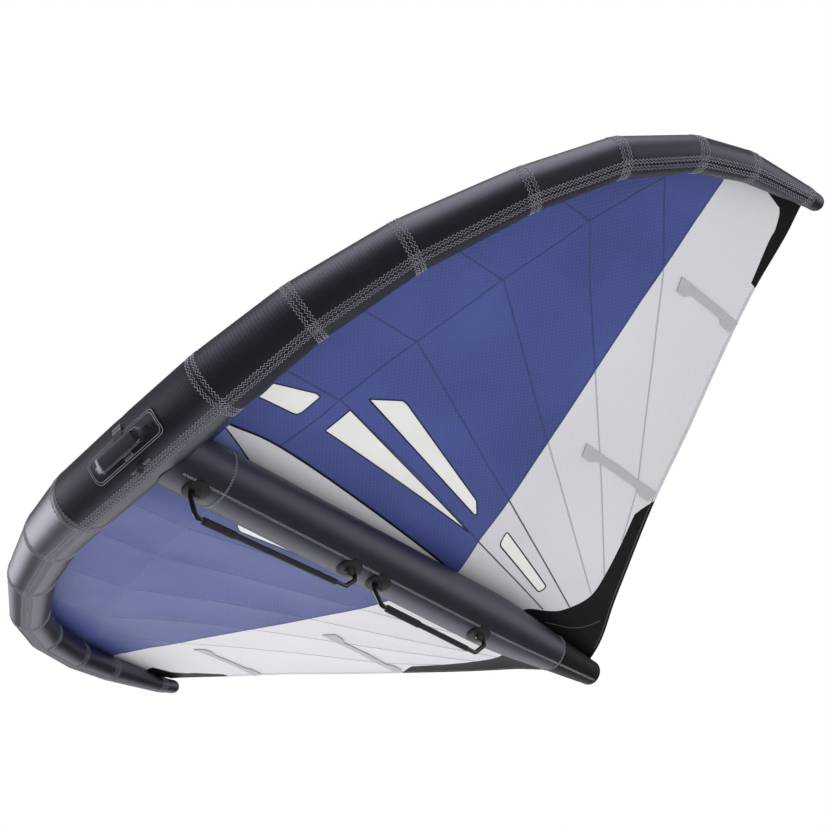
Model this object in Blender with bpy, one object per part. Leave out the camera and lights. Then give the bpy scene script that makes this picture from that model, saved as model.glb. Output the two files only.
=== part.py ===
# Wingfoil wing of five square metres: inflated leading edge and strut, canopy, handles, valve and hose.
# Wing axes: x to the right tip, y back from the leading edge axis, z up from the strut axis.
# The finished wing is then moved so that its origin lies under the middle of its box.
import bpy
import bmesh
from math import acos, cos, pi, radians, sin, sqrt
from mathutils import Matrix, Vector
from mathutils.geometry import delaunay_2d_cdt

# Overall sizes, metres
HALF_SPAN_LENGTH = 1.636
SWEEP = 1.381
RISE = 0.626
CHORD_LENGTH = 2.000
NOSE_RADIUS = 0.104
AXIS_DROP = 0.004
LEAN = radians(20)
CAMBER = 0.030
BLEND = 0.250

# Cloth, film and gaps
GAP = 0.0003
CURVE_SEAT = 0.0006
SLEEVE_WALL = 0.002
FILM = 0.001
FILM_CLEAR = 0.0005
CLOTH = 0.002
MESH_STEP = 0.110
OVERRUN = 0.010
TUBE_SIDES = 24
FILM_SIDES = 12

# Leading edge rings from the centre to the tip end, as shares of the sizes above
RING_X_SHARES = (0, .183, .354, .537, .720, .845, .9285, .970, .9975, 1.0)
RING_Y_SHARES = (0, 0, .062, .148, .282, .424, .590, .742, .953, 1.0)
RING_Z_SHARES = (0, 0, .1725, .316, .484, .660, .791, .879, .973, 1.0)
RING_R_SHARES = (1, .971, .885, .769, .644, .587, .529, .452, .298, .269)
LEAN_SHARES = (0, .3, .8, 1, 1, 1, 1, 1, 1, 1)

# Trailing edge: across the half span, back along the chord, up the rise
TAIL_X_SHARES = (0, .067, .200, .381, .536, .667, .812, .933, .975, .991)
TAIL_Y_SHARES = (1.0, .976, .9155, .842, .798, .757, .715, .6975, .6855, .682)
TAIL_Z_SHARES = (.073, .118, .209, .369, .538, .679, .826, .976, 1.019, 1.035)
CAMBER_X_SHARES = (0, .672, .825, .978)
CAMBER_SHARES = (1, 1, .75, 0)

# Strut: radius along the chord
STRUT_RADIUS = 0.093
STRUT_SIDES = 32
STRUT_Y_SHARES = (0, .075, .725, .80, .90, .96, 1.0)
STRUT_R_SHARES = (1.075, 1, 1, .892, .677, .559, .473)
STRUT_SEAM_1 = 0.250
STRUT_SEAM_2_SHARE = 0.8875
STRUT_END_ROUND = 0.020
SADDLE_GAP = 0.0006
STRUT_FILM_FRONT = 0.112
STRUT_FILM_END = 0.040

# Canopy outlines: across the half span, back along the chord
WEDGE_SHARES = ((0, .1015), (.075, .1025), (.084, .192), (.064, .376), (.029, .593), (0, .632))
COLOUR_LINE_SHARES = ((0, .632), (.031, .631), (.112, .612), (.666, .542), (.850, .524), (.919, .516))
TAIL_PATCH_SHARES = ((.333, .828), (.263, .8525), (.198, .8725), (.136, .885), (.083, .862),
                     (.061, .8415), (.035, .804), (0, .800))
TIP_PATCH_SHARES = ((.953, .6095), (.946, .6505), (.936, .6605), (.912, .6735), (.887, .6785),
                    (.814, .701))
WINDOW_A_SHARES = ((.152, .103), (.190, .105), (.212, .174), (.210, .184), (.167, .178),
                   (.158, .174), (.156, .166))
WINDOW_B_SHARES = ((.216, .240), (.156, .232), (.119, .585))
WINDOW_C_SHARES = ((.248, .255), (.276, .308), (.274, .319), (.184, .549), (.160, .570),
                   (.156, .566))
WINDOW_D_SHARES = ((.161, .643), (.128, .652), (.083, .792), (.103, .796))
WINDOW_LEFT_SHARES = ((.144, .2655), (.159, .2815), (.144, .409), (.122, .575), (.100, .40),
                      (.104, .262))

# Battens under the canopy
BATTEN_X_SHARES = (.383863, .733496)
BATTEN_Y_SHARES = ((.651, .830), (.5825, .731))
BATTEN_HALF = 0.011
BATTEN_END_HALF = 0.018
BATTEN_END = 0.050
BATTEN_THICK = 0.002
BATTEN_CLEAR = 0.0006

# Strut handles: leg tops, corners of the bar, all in the wing's plane of symmetry
BAR_RADIUS = 0.0075
BAR_SIDES = 12
BAR_BEND = 0.022
BEND_STEPS = 4
SWING_DROP = 0.015
PIN_RADIUS = 0.005
PIN_PLAY = 0.0005
PIN_SIDES = 16
PAD_RADIUS = 0.042
PAD_THICK = 0.006
PAD_STEP = 0.012
PAD_SIDES = 24
EYE_RADIUS = 0.009
EYE_LENGTH = 0.024
EYE_SINK = 0.003
LEG_CLEAR = 0.0005
LEG_STRAIGHT = 0.020
LEG_Y = ((0.152, 0.797), (0.882, 1.393))
CORNER_Y = ((0.169, 0.750), (0.904, 1.336))
CORNER_DROP = ((0.194, 0.172), (0.178, 0.180))
THICK_GRIP_FROM = (0.024, 0.021)
THICK_GRIP_LENGTH = (0.121, 0.145)
THIN_GRIP_END = 0.040
THICK_GRIP_RADIUS = 0.012
THIN_GRIP_RADIUS = 0.0093
GRIP_SIDES = 16

# Soft handle on the centre of the leading edge, angles down from the front of the tube
PATCH_THICK = 0.002
PATCH_STEP = 0.014
PATCH_HALF = 0.150
PATCH_TOP = radians(15)
PATCH_BOTTOM = radians(63)
PATCH_CORNER = 0.020
GRIP_ANGLE = radians(41)
GRIP_HALF = 0.115
GRIP_LIFT = 0.032
GRIP_WIDE = 0.015
GRIP_THICK = 0.007
GRIP_END = 0.0045
GRIP_RISE = 0.045
GRIP_STEPS = 5
STRAP_HALF = 0.019
STRAP_THICK = 0.0015
STRAP_TOP = radians(3)
STRAP_BOTTOM = radians(57)

# Leash loop below the tube
LEASH_ANGLE = radians(78)
WING_HALF = 0.042
WING_WIDE = 0.016
WING_THICK = 0.0015
LOOP_HALF = 0.010
LOOP_HEIGHT = 0.024
LOOP_WIDE = 0.006
LOOP_FOOT = 0.0012
LOOP_FOOT_WIDE = 0.0006
LOOP_BAND = 0.0012
LOOP_STEPS = 20

# Inflation valve at the back of the centre tube, as a share of its half length
VALVE_X_SHARE = 0.784935
VALVE_ANGLE = radians(20)
VALVE_NECK = 0.017
VALVE_BORE = 0.013
VALVE_DEPTH = 0.012
VALVE_FLANGE = 0.0285
VALVE_FLANGE_THICK = 0.003
VALVE_RIM = 0.019
VALVE_HEIGHT = 0.012
HOLE_PLAY = 0.0005
CAP_RADIUS = 0.020
CAP_THICK = 0.003
CAP_PLUG = 0.0118
CAP_PLUG_DEPTH = 0.005
CAP_HINGE_OUT = 0.0255
KNUCKLE = 0.0028
KNUCKLE_BORE = 0.0015
HINGE_PIN = 0.0011
KNUCKLE_HALF = 0.005
EAR_THICK = 0.003
EAR_CLEAR = 0.0004
SMALL_SIDES = 12

# Hose from the leading edge to the strut, and its clamp
HOSE_X_SHARE = 0.534424
HOSE_RISE = radians(30)
HOSE_STRUT_Y = 0.200
HOSE_RADIUS = 0.009
HOSE_BORE = 0.0065
HOSE_IN = 0.006
HOSE_PULL = 0.055
HOSE_STEPS = 10
CLAMP_WALL = 0.003
CLAMP_HALF = 0.008
CLAMP_PLAY = 0.0005
CLAMP_DROP = 0.006
LEVER_THICK = 0.003
LEVER_LENGTH = 0.030
LEVER_OPEN = radians(80)


def clear_scene():
    for ob in list(bpy.data.objects):
        bpy.data.objects.remove(ob, do_unlink=True)


def material(name, hex_colour, rough, metal=0.0, alpha=1.0):
    mat = bpy.data.materials.new(name)
    mat.use_nodes = True
    shader = mat.node_tree.nodes["Principled BSDF"]
    rgb = [int(hex_colour[i:i + 2], 16) / 255 for i in (1, 3, 5)]
    linear = [c / 12.92 if c <= 0.04045 else ((c + 0.055) / 1.055) ** 2.4 for c in rgb]
    shader.inputs["Base Color"].default_value = (*linear, 1)
    shader.inputs["Roughness"].default_value = rough
    shader.inputs["Metallic"].default_value = metal
    shader.inputs["Alpha"].default_value = alpha
    mat.diffuse_color = (*linear, alpha)
    return mat


def interp(x, xs, ys):
    # Straight line between table points, level beyond both ends
    if x <= xs[0]:
        return ys[0]
    for k in range(1, len(xs)):
        if x <= xs[k]:
            part = (x - xs[k - 1]) / (xs[k] - xs[k - 1])
            return ys[k - 1] + part * (ys[k] - ys[k - 1])
    return ys[-1]


# Objects

def make(name, bm, mat, origin=None, fix_normals=True):
    if fix_normals:
        bmesh.ops.recalc_face_normals(bm, faces=bm.faces[:])
    origin = Vector(origin) if origin is not None else Vector((0, 0, 0))
    bmesh.ops.translate(bm, verts=bm.verts[:], vec=-origin)
    mesh = bpy.data.meshes.new(name)
    bm.to_mesh(mesh)
    bm.free()
    mesh.shade_smooth()
    mesh.set_sharp_from_angle(angle=radians(32))
    ob = bpy.data.objects.new(name, mesh)
    bpy.context.scene.collection.objects.link(ob)
    ob.location = origin
    ob.parent = ROOT
    if mat is not None:
        mesh.materials.append(mat)
    return ob


def cutter(name, bm):
    ob = make(name, bm, None)
    ob.hide_render = True
    ob.display_type = "WIRE"
    return ob


def boolean(ob, other, operation):
    mod = ob.modifiers.new(other.name, "BOOLEAN")
    mod.operation = operation
    mod.object = other
    mod.solver = "EXACT"


# Rings and skins

def bridge(bm, a, b, flip):
    count = len(a)
    for k in range(count):
        quad = [a[k], a[(k + 1) % count], b[(k + 1) % count], b[k]]
        bm.faces.new(quad[::-1] if flip else quad)


def skin(bm, rings, flip=False):
    loops = [[bm.verts.new(p) for p in ring] for ring in rings]
    for a, b in zip(loops, loops[1:]):
        bridge(bm, a, b, flip)
    return loops


def fan(bm, loop, tip):
    top = bm.verts.new(tip)
    for k in range(len(loop)):
        bm.faces.new((loop[k], loop[(k + 1) % len(loop)], top))


def open_tube(outer, inner):
    # Thin wall between two sets of rings, open at both ends
    bm = bmesh.new()
    out_loops = skin(bm, outer)
    in_loops = skin(bm, inner, True)
    bridge(bm, in_loops[0], out_loops[0], False)
    bridge(bm, out_loops[-1], in_loops[-1], False)
    return bm


def cup(outer, outer_tip, inner, inner_tip):
    # Thin wall, open at the first rings and closed at the tips
    bm = bmesh.new()
    out_loops = skin(bm, outer)
    in_loops = skin(bm, inner, True)
    bridge(bm, in_loops[0], out_loops[0], False)
    fan(bm, out_loops[-1], outer_tip)
    fan(bm, in_loops[-1], inner_tip)
    return bm


def closed_tube(rings):
    bm = bmesh.new()
    loops = skin(bm, rings)
    bm.faces.new(loops[0])
    bm.faces.new(loops[-1])
    return bm


def film_body(outer, inner):
    # Two closed tubes, one inside the other: the inner one faces inwards
    bm = closed_tube(inner)
    bmesh.ops.recalc_face_normals(bm, faces=bm.faces[:])
    bmesh.ops.reverse_faces(bm, faces=bm.faces[:])
    shell = closed_tube(outer)
    bmesh.ops.recalc_face_normals(shell, faces=shell.faces[:])
    mesh = bpy.data.meshes.new("shell")
    shell.to_mesh(mesh)
    shell.free()
    bm.from_mesh(mesh)
    bpy.data.meshes.remove(mesh)
    return bm


def circle(centre, u, v, a, b, sides):
    return [centre + u * (a * cos(2 * pi * k / sides)) + v * (b * sin(2 * pi * k / sides))
            for k in range(sides)]


def frames(path, up):
    # A point, a tangent and two cross directions for each point of a path
    result = []
    for k, p in enumerate(path):
        before = path[max(k - 1, 0)]
        after = path[min(k + 1, len(path) - 1)]
        t = (after - before).normalized()
        u = (up - t * up.dot(t)).normalized()
        result.append((p, t, u, t.cross(u)))
    return result


def rod(centre, along, up, radius, length, sides, back=0.0):
    # Solid cylinder from centre - along * back to centre + along * length
    u = (up - along * up.dot(along)).normalized()
    v = along.cross(u)
    ends = (centre - along * back, centre + along * length)
    return closed_tube([circle(p, u, v, radius, radius, sides) for p in ends])


def turned(profile, centre, along, up, sides):
    # Closed profile of (radius, height) pairs turned about an axis
    u = (up - along * up.dot(along)).normalized()
    v = along.cross(u)
    bm = bmesh.new()
    loops = skin(bm, [circle(centre + along * w, u, v, r, r, sides) for r, w in profile])
    bridge(bm, loops[-1], loops[0], False)
    return bm


def turned_solid(profile, centre, along, up, sides):
    u = (up - along * up.dot(along)).normalized()
    v = along.cross(u)
    return closed_tube([circle(centre + along * w, u, v, r, r, sides) for r, w in profile])


def block(centre, axes, halves):
    bm = bmesh.new()
    bmesh.ops.create_cube(bm, size=2)
    frame = Matrix((axes[0] * halves[0], axes[1] * halves[1], axes[2] * halves[2])).transposed()
    for v in bm.verts:
        v.co = centre + frame @ v.co
    return bm


# Leading edge rings

def mirror(p):
    return Vector((-p.x, p.y, p.z))


def ring_centre(i):
    return Vector((RING_X_SHARES[i] * HALF_SPAN_LENGTH, RING_Y_SHARES[i] * SWEEP,
                   RING_Z_SHARES[i] * RISE - AXIS_DROP))


def ring_radius(i):
    return RING_R_SHARES[i] * NOSE_RADIUS


def ring_frame(i):
    last = len(RING_X_SHARES) - 1
    before = ring_centre(i) - ring_centre(i - 1) if i > 0 else ring_centre(1) - ring_centre(0)
    after = ring_centre(i + 1) - ring_centre(i) if i < last else before
    before.normalize()
    after.normalize()
    n = (before + after).normalized()
    lean = LEAN * LEAN_SHARES[i]
    up = Vector((-sin(lean), 0, cos(lean)))
    u = (up - n * up.dot(n)).normalized()
    return n, before, u, n.cross(u)


def le_ring(i, radius, shift, sides, squeeze=1.0):
    # Mitred section: points of a ring stand one radius off the tube's axis
    n, along, u, v = ring_frame(i)
    points = []
    for k in range(sides):
        e = u * cos(2 * pi * k / sides) + v * sin(2 * pi * k / sides)
        reach = radius * squeeze / sqrt(1 - e.dot(along) ** 2)
        points.append(ring_centre(i) + n * shift + e * reach)
    return points


def sided(points, side):
    return points if side > 0 else [mirror(p) for p in points]


ATTACH = [le_ring(i, ring_radius(i), 0, TUBE_SIDES)[0] for i in range(len(RING_X_SHARES))]


def le_panel(name, first, side, mat):
    half = GAP / 2
    outer = [le_ring(first, ring_radius(first), half, TUBE_SIDES),
             le_ring(first + 1, ring_radius(first + 1), -half, TUBE_SIDES)]
    inner = [le_ring(first, ring_radius(first) - SLEEVE_WALL, half, TUBE_SIDES),
             le_ring(first + 1, ring_radius(first + 1) - SLEEVE_WALL, -half, TUBE_SIDES)]
    bm = open_tube([sided(r, side) for r in outer], [sided(r, side) for r in inner])
    return make(name, bm, mat)


def centre_place(share):
    # Across the centre panel, from its middle to its end seam
    return share * RING_X_SHARES[1] * HALF_SPAN_LENGTH


def le_centre_panel(mat):
    half = GAP / 2
    walls = []
    for cut in (0, SLEEVE_WALL):
        end = le_ring(1, ring_radius(1) - cut, -half, TUBE_SIDES)
        middle = le_ring(0, ring_radius(0) - cut, 0, TUBE_SIDES)
        walls.append([sided(end, -1), middle, end])
    return make("le_panel_centre", open_tube(*walls), mat)


def tip_cap(name, side, mat):
    seam = len(RING_X_SHARES) - 2
    n = ring_frame(seam + 1)[0]
    end = ring_centre(seam + 1)
    walls = []
    for cut in (0, SLEEVE_WALL):
        radius = ring_radius(seam + 1) - cut
        rings = [le_ring(seam, ring_radius(seam) - cut, GAP / 2, TUBE_SIDES)]
        for turn in (0, pi / 6, pi / 3):
            rings.append(le_ring(seam + 1, radius, radius * sin(turn), TUBE_SIDES, cos(turn)))
        tip = sided([end + n * radius], side)[0]
        walls.extend(([sided(r, side) for r in rings], tip))
    return make(name, cup(*walls), mat)


def le_bladder(mat):
    last = len(RING_X_SHARES) - 2
    walls = []
    for cut in (0, FILM):
        right = []
        for i in range(last + 1):
            inside = (ring_radius(i) - SLEEVE_WALL) * cos(pi / TUBE_SIDES) - FILM_CLEAR - cut
            right.append(le_ring(i, inside, -cut if i == last else 0, FILM_SIDES))
        walls.append([sided(r, -1) for r in right[:0:-1]] + right)
    return make("le_bladder", film_body(*walls), mat, fix_normals=False)


# Canopy surface

def strut_radius(y):
    return STRUT_RADIUS * interp(y / CHORD_LENGTH, STRUT_Y_SHARES, STRUT_R_SHARES)


def canopy_height(x, y):
    x = abs(x)
    y0 = interp(x, [p.x for p in ATTACH], [p.y for p in ATTACH])
    z0 = interp(x, [p.x for p in ATTACH], [p.z for p in ATTACH])
    y1 = CHORD_LENGTH * interp(x / HALF_SPAN_LENGTH, TAIL_X_SHARES, TAIL_Y_SHARES)
    z1 = RISE * interp(x / HALF_SPAN_LENGTH, TAIL_X_SHARES, TAIL_Z_SHARES)
    part = (y - y0) / (y1 - y0)
    bow = CAMBER * interp(x / HALF_SPAN_LENGTH, CAMBER_X_SHARES, CAMBER_SHARES)
    free = z0 + part * (z1 - z0) + 4 * bow * part * (1 - part)
    w = min(x / BLEND, 1)
    w = w * w * (3 - 2 * w)
    return (1 - w) * strut_radius(y) + w * free


def canopy_place(x, y, lift):
    return Vector((x, y, canopy_height(x, y) + lift))


def nose_place(x, arc, lift):
    # Round the centre tube: the arc runs down from its front
    slope = (1 - RING_R_SHARES[1]) / RING_X_SHARES[1]
    radius = NOSE_RADIUS * (1 - slope * abs(x) / HALF_SPAN_LENGTH) + lift
    a = arc / NOSE_RADIUS
    return Vector((x, -radius * cos(a), -radius * sin(a) - AXIS_DROP))


def strut_place(arc, y, lift):
    # Round the underside of the strut
    a = arc / STRUT_RADIUS
    return Vector(((STRUT_RADIUS + lift) * sin(a), y, -(STRUT_RADIUS + lift) * cos(a)))


# Flat outlines made into closed sheets

def area(poly):
    return sum(a[0] * b[1] - b[0] * a[1] for a, b in zip(poly, poly[1:] + poly[:1])) / 2


def shrink(poly, d):
    # Each edge moves inwards by d
    turn = 1 if area(poly) > 0 else -1
    result = []
    for k, p in enumerate(poly):
        normals = []
        for a, b in ((poly[k - 1], p), (p, poly[(k + 1) % len(poly)])):
            e = (Vector(b) - Vector(a)).normalized()
            normals.append(Vector((-e.y, e.x)) * turn)
        q = Vector(p) + (normals[0] + normals[1]) * (d / (1 + normals[0].dot(normals[1])))
        result.append((q.x, q.y))
    return result


def inside(p, poly):
    hit = False
    for a, b in zip(poly, poly[1:] + poly[:1]):
        if (a[1] > p[1]) != (b[1] > p[1]):
            if p[0] < (b[0] - a[0]) * (p[1] - a[1]) / (b[1] - a[1]) + a[0]:
                hit = not hit
    return hit


def edge_distance(p, poly):
    best = None
    for a, b in zip(poly, poly[1:] + poly[:1]):
        a2, e = Vector(a), Vector(b) - Vector(a)
        s = max(0, min(1, (Vector(p) - a2).dot(e) / e.length_squared))
        d = (Vector(p) - a2 - e * s).length
        best = d if best is None else min(best, d)
    return best


def split(poly, step):
    result = []
    for a, b in zip(poly, poly[1:] + poly[:1]):
        parts = max(1, round((Vector(b) - Vector(a)).length / step))
        for k in range(parts):
            result.append(tuple(Vector(a).lerp(Vector(b), k / parts)))
    return result


def grid_points(loops, step):
    xs = [p[0] for p in loops[0]]
    ys = [p[1] for p in loops[0]]
    points = []
    for i in range(int(min(xs) // step), int(max(xs) // step) + 2):
        for j in range(int(min(ys) // step), int(max(ys) // step) + 2):
            p = ((i + (j % 2) / 2) * step, j * step)
            free = all(edge_distance(p, loop) > step * 0.4 for loop in loops)
            if free and inside(p, loops[0]) and not any(inside(p, h) for h in loops[1:]):
                points.append(p)
    return points


def sheet(name, outline, holes, place, lift, thick, step, mat, extra=(), origin=None):
    loops = [split(shrink(outline, GAP / 2), step)]
    loops += [split(shrink(h, -GAP / 2), step) for h in holes]
    points, edges = [], []
    for loop in loops:
        first = len(points)
        points += [Vector(p) for p in loop]
        edges += [(first + k, first + (k + 1) % len(loop)) for k in range(len(loop))]
    points += [Vector(p) for p in grid_points(loops, step)]
    points += [Vector(p) for p in extra]
    verts, _, faces = delaunay_2d_cdt(points, edges, [], 0, GAP / 100)[:3]
    kept = []
    for f in faces:
        mid = sum((verts[k] for k in f), Vector((0, 0))) / len(f)
        if inside(mid, loops[0]) and not any(inside(mid, h) for h in loops[1:]):
            kept.append(tuple(f))
    return make(name, thicken(verts, kept, place, lift, thick), mat, origin)


def thicken(verts, faces, place, lift, thick):
    bm = bmesh.new()
    used = sorted({k for f in faces for k in f})
    low = {k: bm.verts.new(place(verts[k].x, verts[k].y, lift)) for k in used}
    high = {k: bm.verts.new(place(verts[k].x, verts[k].y, lift + thick)) for k in used}
    ways = {(f[k], f[(k + 1) % len(f)]) for f in faces for k in range(len(f))}
    for f in faces:
        bm.faces.new([high[k] for k in f])
        bm.faces.new([low[k] for k in f][::-1])
    for a, b in ways:
        if (b, a) not in ways:
            bm.faces.new((low[a], low[b], high[b], high[a]))
    return bm


# Canopy outlines

def plan(shares):
    return [(x * HALF_SPAN_LENGTH, y * CHORD_LENGTH) for x, y in shares]


def attach_plan(first, last):
    return [(ATTACH[i].x, ATTACH[i].y) for i in range(first, last + 1)]


def tail_plan(first, last):
    step = 1 if last >= first else -1
    return [(TAIL_X_SHARES[i] * HALF_SPAN_LENGTH, TAIL_Y_SHARES[i] * CHORD_LENGTH)
            for i in range(first, last + step, step)]


def edge_at(y):
    return (interp(y, [p.y for p in ATTACH[1:]], [p.x for p in ATTACH[1:]]), y)


def ridge_points(first, last):
    # Places on the strut's top line where its profile bends
    return [(0, s * CHORD_LENGTH) for s in STRUT_Y_SHARES if first < s * CHORD_LENGTH < last]


def flip_plan(poly):
    return [(-x, y) for x, y in poly][::-1]


def both_halves(half):
    # An outline from the middle line to the middle line, completed by its mirror image
    other = [(-x, y) for x, y in half if x > 0]
    return half + other[::-1]


def blue_plan():
    colour = plan(COLOUR_LINE_SHARES)
    return attach_plan(0, 7) + colour[:0:-1] + plan(WEDGE_SHARES)[::-1]


def white_plan():
    tip = plan(TIP_PATCH_SHARES)
    patch = plan(TAIL_PATCH_SHARES)
    middle = ridge_points(colour_y(), patch[-1][1])[::-1]
    colour = plan(COLOUR_LINE_SHARES)
    return (colour + attach_plan(7, 7) + [edge_at(tip[0][1])] + tip + tail_plan(6, 3)
            + patch + middle)


def colour_y():
    return COLOUR_LINE_SHARES[0][1] * CHORD_LENGTH


def tip_plan():
    tip = plan(TIP_PATCH_SHARES)
    return [edge_at(tip[0][1])] + attach_plan(8, 8) + tail_plan(9, 6) + tip[::-1]


def tail_patch_plan():
    return both_halves(plan(TAIL_PATCH_SHARES)[::-1] + tail_plan(3, 0))


def canopy(mats):
    def panel(name, outline, holes, mat, side, extra=()):
        if side < 0:
            outline, holes = flip_plan(outline), [flip_plan(h) for h in holes]
        sheet(name, outline, holes, canopy_place, GAP, CLOTH, MESH_STEP, mat, extra)

    windows = {"a": WINDOW_A_SHARES, "b": WINDOW_B_SHARES, "c": WINDOW_C_SHARES}
    right = [plan(s) for s in windows.values()]
    back = plan(WINDOW_D_SHARES)
    left = plan(WINDOW_LEFT_SHARES)
    panel("canopy_front_right", blue_plan(), right, mats["blue"], 1)
    panel("canopy_front_left", blue_plan(), [left], mats["blue"], -1)
    panel("canopy_rear_right", white_plan(), [back], mats["pale"], 1)
    panel("canopy_rear_left", white_plan(), [], mats["pale"], -1)
    for key, outline in zip(windows, right):
        panel("window_right_" + key, outline, [], mats["clear"], 1)
    panel("window_right_d", back, [], mats["clear"], 1)
    panel("window_left", left, [], mats["clear"], -1)
    wedge = plan(WEDGE_SHARES)
    panel("canopy_wedge", both_halves(wedge), [], mats["pale"], 1,
          ridge_points(wedge[0][1], wedge[-1][1]))
    tail = tail_patch_plan()
    ridge = ridge_points(plan(TAIL_PATCH_SHARES)[-1][1], CHORD_LENGTH)
    panel("tail_patch", tail, [], mats["patch"], 1, ridge)
    panel("tip_patch_right", tip_plan(), [], mats["patch"], 1)
    panel("tip_patch_left", tip_plan(), [], mats["patch"], -1)


def batten_plan(x, first, last):
    half, wide, end = BATTEN_HALF, BATTEN_END_HALF, BATTEN_END
    side = [(wide, first), (wide, first + end), (half, first + 2 * end), (half, last - 2 * end),
            (wide, last - end), (wide, last)]
    return [(x + w, y) for w, y in side] + [(x - w, y) for w, y in side[::-1]]


def battens(mat):
    names = ("inner", "outer")
    for name, share, (first, last) in zip(names, BATTEN_X_SHARES, BATTEN_Y_SHARES):
        for tag, side in (("right", 1), ("left", -1)):
            outline = batten_plan(share * HALF_SPAN_LENGTH, first * CHORD_LENGTH, last * CHORD_LENGTH)
            if side < 0:
                outline = flip_plan(outline)
            sheet("batten_%s_%s" % (name, tag), outline, [], canopy_place,
                  -BATTEN_CLEAR - BATTEN_THICK, BATTEN_THICK, MESH_STEP / 2, mat)


# Strut

def strut_ring(y, radius, sides=STRUT_SIDES):
    return [Vector((radius * sin(2 * pi * k / sides), y, radius * cos(2 * pi * k / sides)))
            for k in range(sides)]


def saddle_ring(radius):
    # Front edge of the strut sleeve, fitted to the leading edge tube
    ring = []
    for p in strut_ring(0, radius):
        tube = nose_place(p.x, 0, SADDLE_GAP)
        reach = tube.y ** 2 - (p.z + AXIS_DROP) ** 2
        ring.append(Vector((p.x, sqrt(reach), p.z)))
    return ring


def strut_seam_2():
    return STRUT_SEAM_2_SHARE * CHORD_LENGTH


def strut_stations(first, last):
    ys = [first] + [s * CHORD_LENGTH for s in STRUT_Y_SHARES if first < s * CHORD_LENGTH < last] + [last]
    return [(y, min(strut_radius(y), STRUT_RADIUS)) for y in ys]


def strut(mats):
    half = GAP / 2
    walls = []
    for cut in (0, SLEEVE_WALL):
        radius = STRUT_RADIUS - cut
        walls.append([saddle_ring(radius), strut_ring(STRUT_SEAM_1 - half, radius)])
    front = make("strut_sleeve_front", open_tube(*walls), mats["strut"])
    walls = []
    for cut in (0, SLEEVE_WALL):
        stations = strut_stations(STRUT_SEAM_1 + half, strut_seam_2() - half)
        walls.append([strut_ring(y, r - cut) for y, r in stations])
    make("strut_sleeve_main", open_tube(*walls), mats["strut"])
    make("strut_end_cap", cup(*end_cap_walls()), mats["patch"])
    film = make("strut_bladder", film_body(*strut_film_walls()), mats["film"], fix_normals=False)
    return front, film


def end_cap_walls():
    walls = []
    for cut in (0, SLEEVE_WALL):
        first = strut_seam_2() + GAP / 2
        rings = [strut_ring(y, r - cut) for y, r in strut_stations(first, CHORD_LENGTH)]
        for turn in (pi / 6, pi / 3):
            rings.append(strut_ring(CHORD_LENGTH + (STRUT_END_ROUND - cut) * sin(turn),
                                    (strut_radius(CHORD_LENGTH) - cut) * cos(turn)))
        walls.extend((rings, Vector((0, CHORD_LENGTH + STRUT_END_ROUND - cut, 0))))
    return walls


def strut_film_walls():
    walls = []
    for cut in (0, FILM):
        rings = []
        last = CHORD_LENGTH - STRUT_FILM_END
        for y, r in strut_stations(STRUT_FILM_FRONT + cut, last - cut):
            inside_r = (r - SLEEVE_WALL) * cos(pi / STRUT_SIDES) - FILM_CLEAR - cut
            rings.append(strut_ring(y, inside_r, FILM_SIDES))
        walls.append(rings)
    return walls


# Strut handles

def swing_axis_z():
    return -(STRUT_RADIUS + SWING_DROP)


def rounded(points, radius, steps):
    # Path with an arc at each inner corner
    path = [points[0]]
    for a, b, c in zip(points, points[1:], points[2:]):
        u, v = (a - b).normalized(), (c - b).normalized()
        half = acos(max(-1, min(1, u.dot(v)))) / 2
        reach = radius * cos(half) / sin(half)
        centre = b + (u + v).normalized() * (radius / sin(half))
        start, stop = b + u * reach - centre, b + v * reach - centre
        angle = start.angle(stop)
        for k in range(steps + 1):
            s = k / steps
            path.append(centre + (start * sin((1 - s) * angle) + stop * sin(s * angle)) / sin(angle))
    return path + [points[-1]]


def handle_corners(k):
    # Each leg runs straight down past its eye, then leans to its corner
    axis = swing_axis_z()
    knee = axis - LEG_STRAIGHT
    fore, aft = LEG_Y[k]
    return [Vector((0, fore, axis)), Vector((0, fore, knee)),
            Vector((0, CORNER_Y[k][0], -CORNER_DROP[k][0])),
            Vector((0, CORNER_Y[k][1], -CORNER_DROP[k][1])),
            Vector((0, aft, knee)), Vector((0, aft, axis))]


def swept(path, up, sizes, sides):
    # Rings along a path with a half round at each end
    items = frames(path, up)
    rings = []
    for k, (p, t, u, v) in enumerate(items):
        a, b = sizes[k]
        rings.append(circle(p, u, v, a, b, sides))
    for which in (0, -1):
        p, t, u, v = items[which]
        a, b = sizes[which]
        way = -t if which == 0 else t
        caps = [circle(p + way * (b * sin(turn)), u, v, a * cos(turn), b * cos(turn), sides)
                for turn in (pi / 6, pi / 3)]
        rings = caps[::-1] + rings if which == 0 else rings + caps
    bm = bmesh.new()
    loops = skin(bm, rings)
    fan(bm, loops[0], items[0][0] - items[0][1] * sizes[0][1])
    fan(bm, loops[-1], items[-1][0] + items[-1][1] * sizes[-1][1])
    return bm


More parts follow.
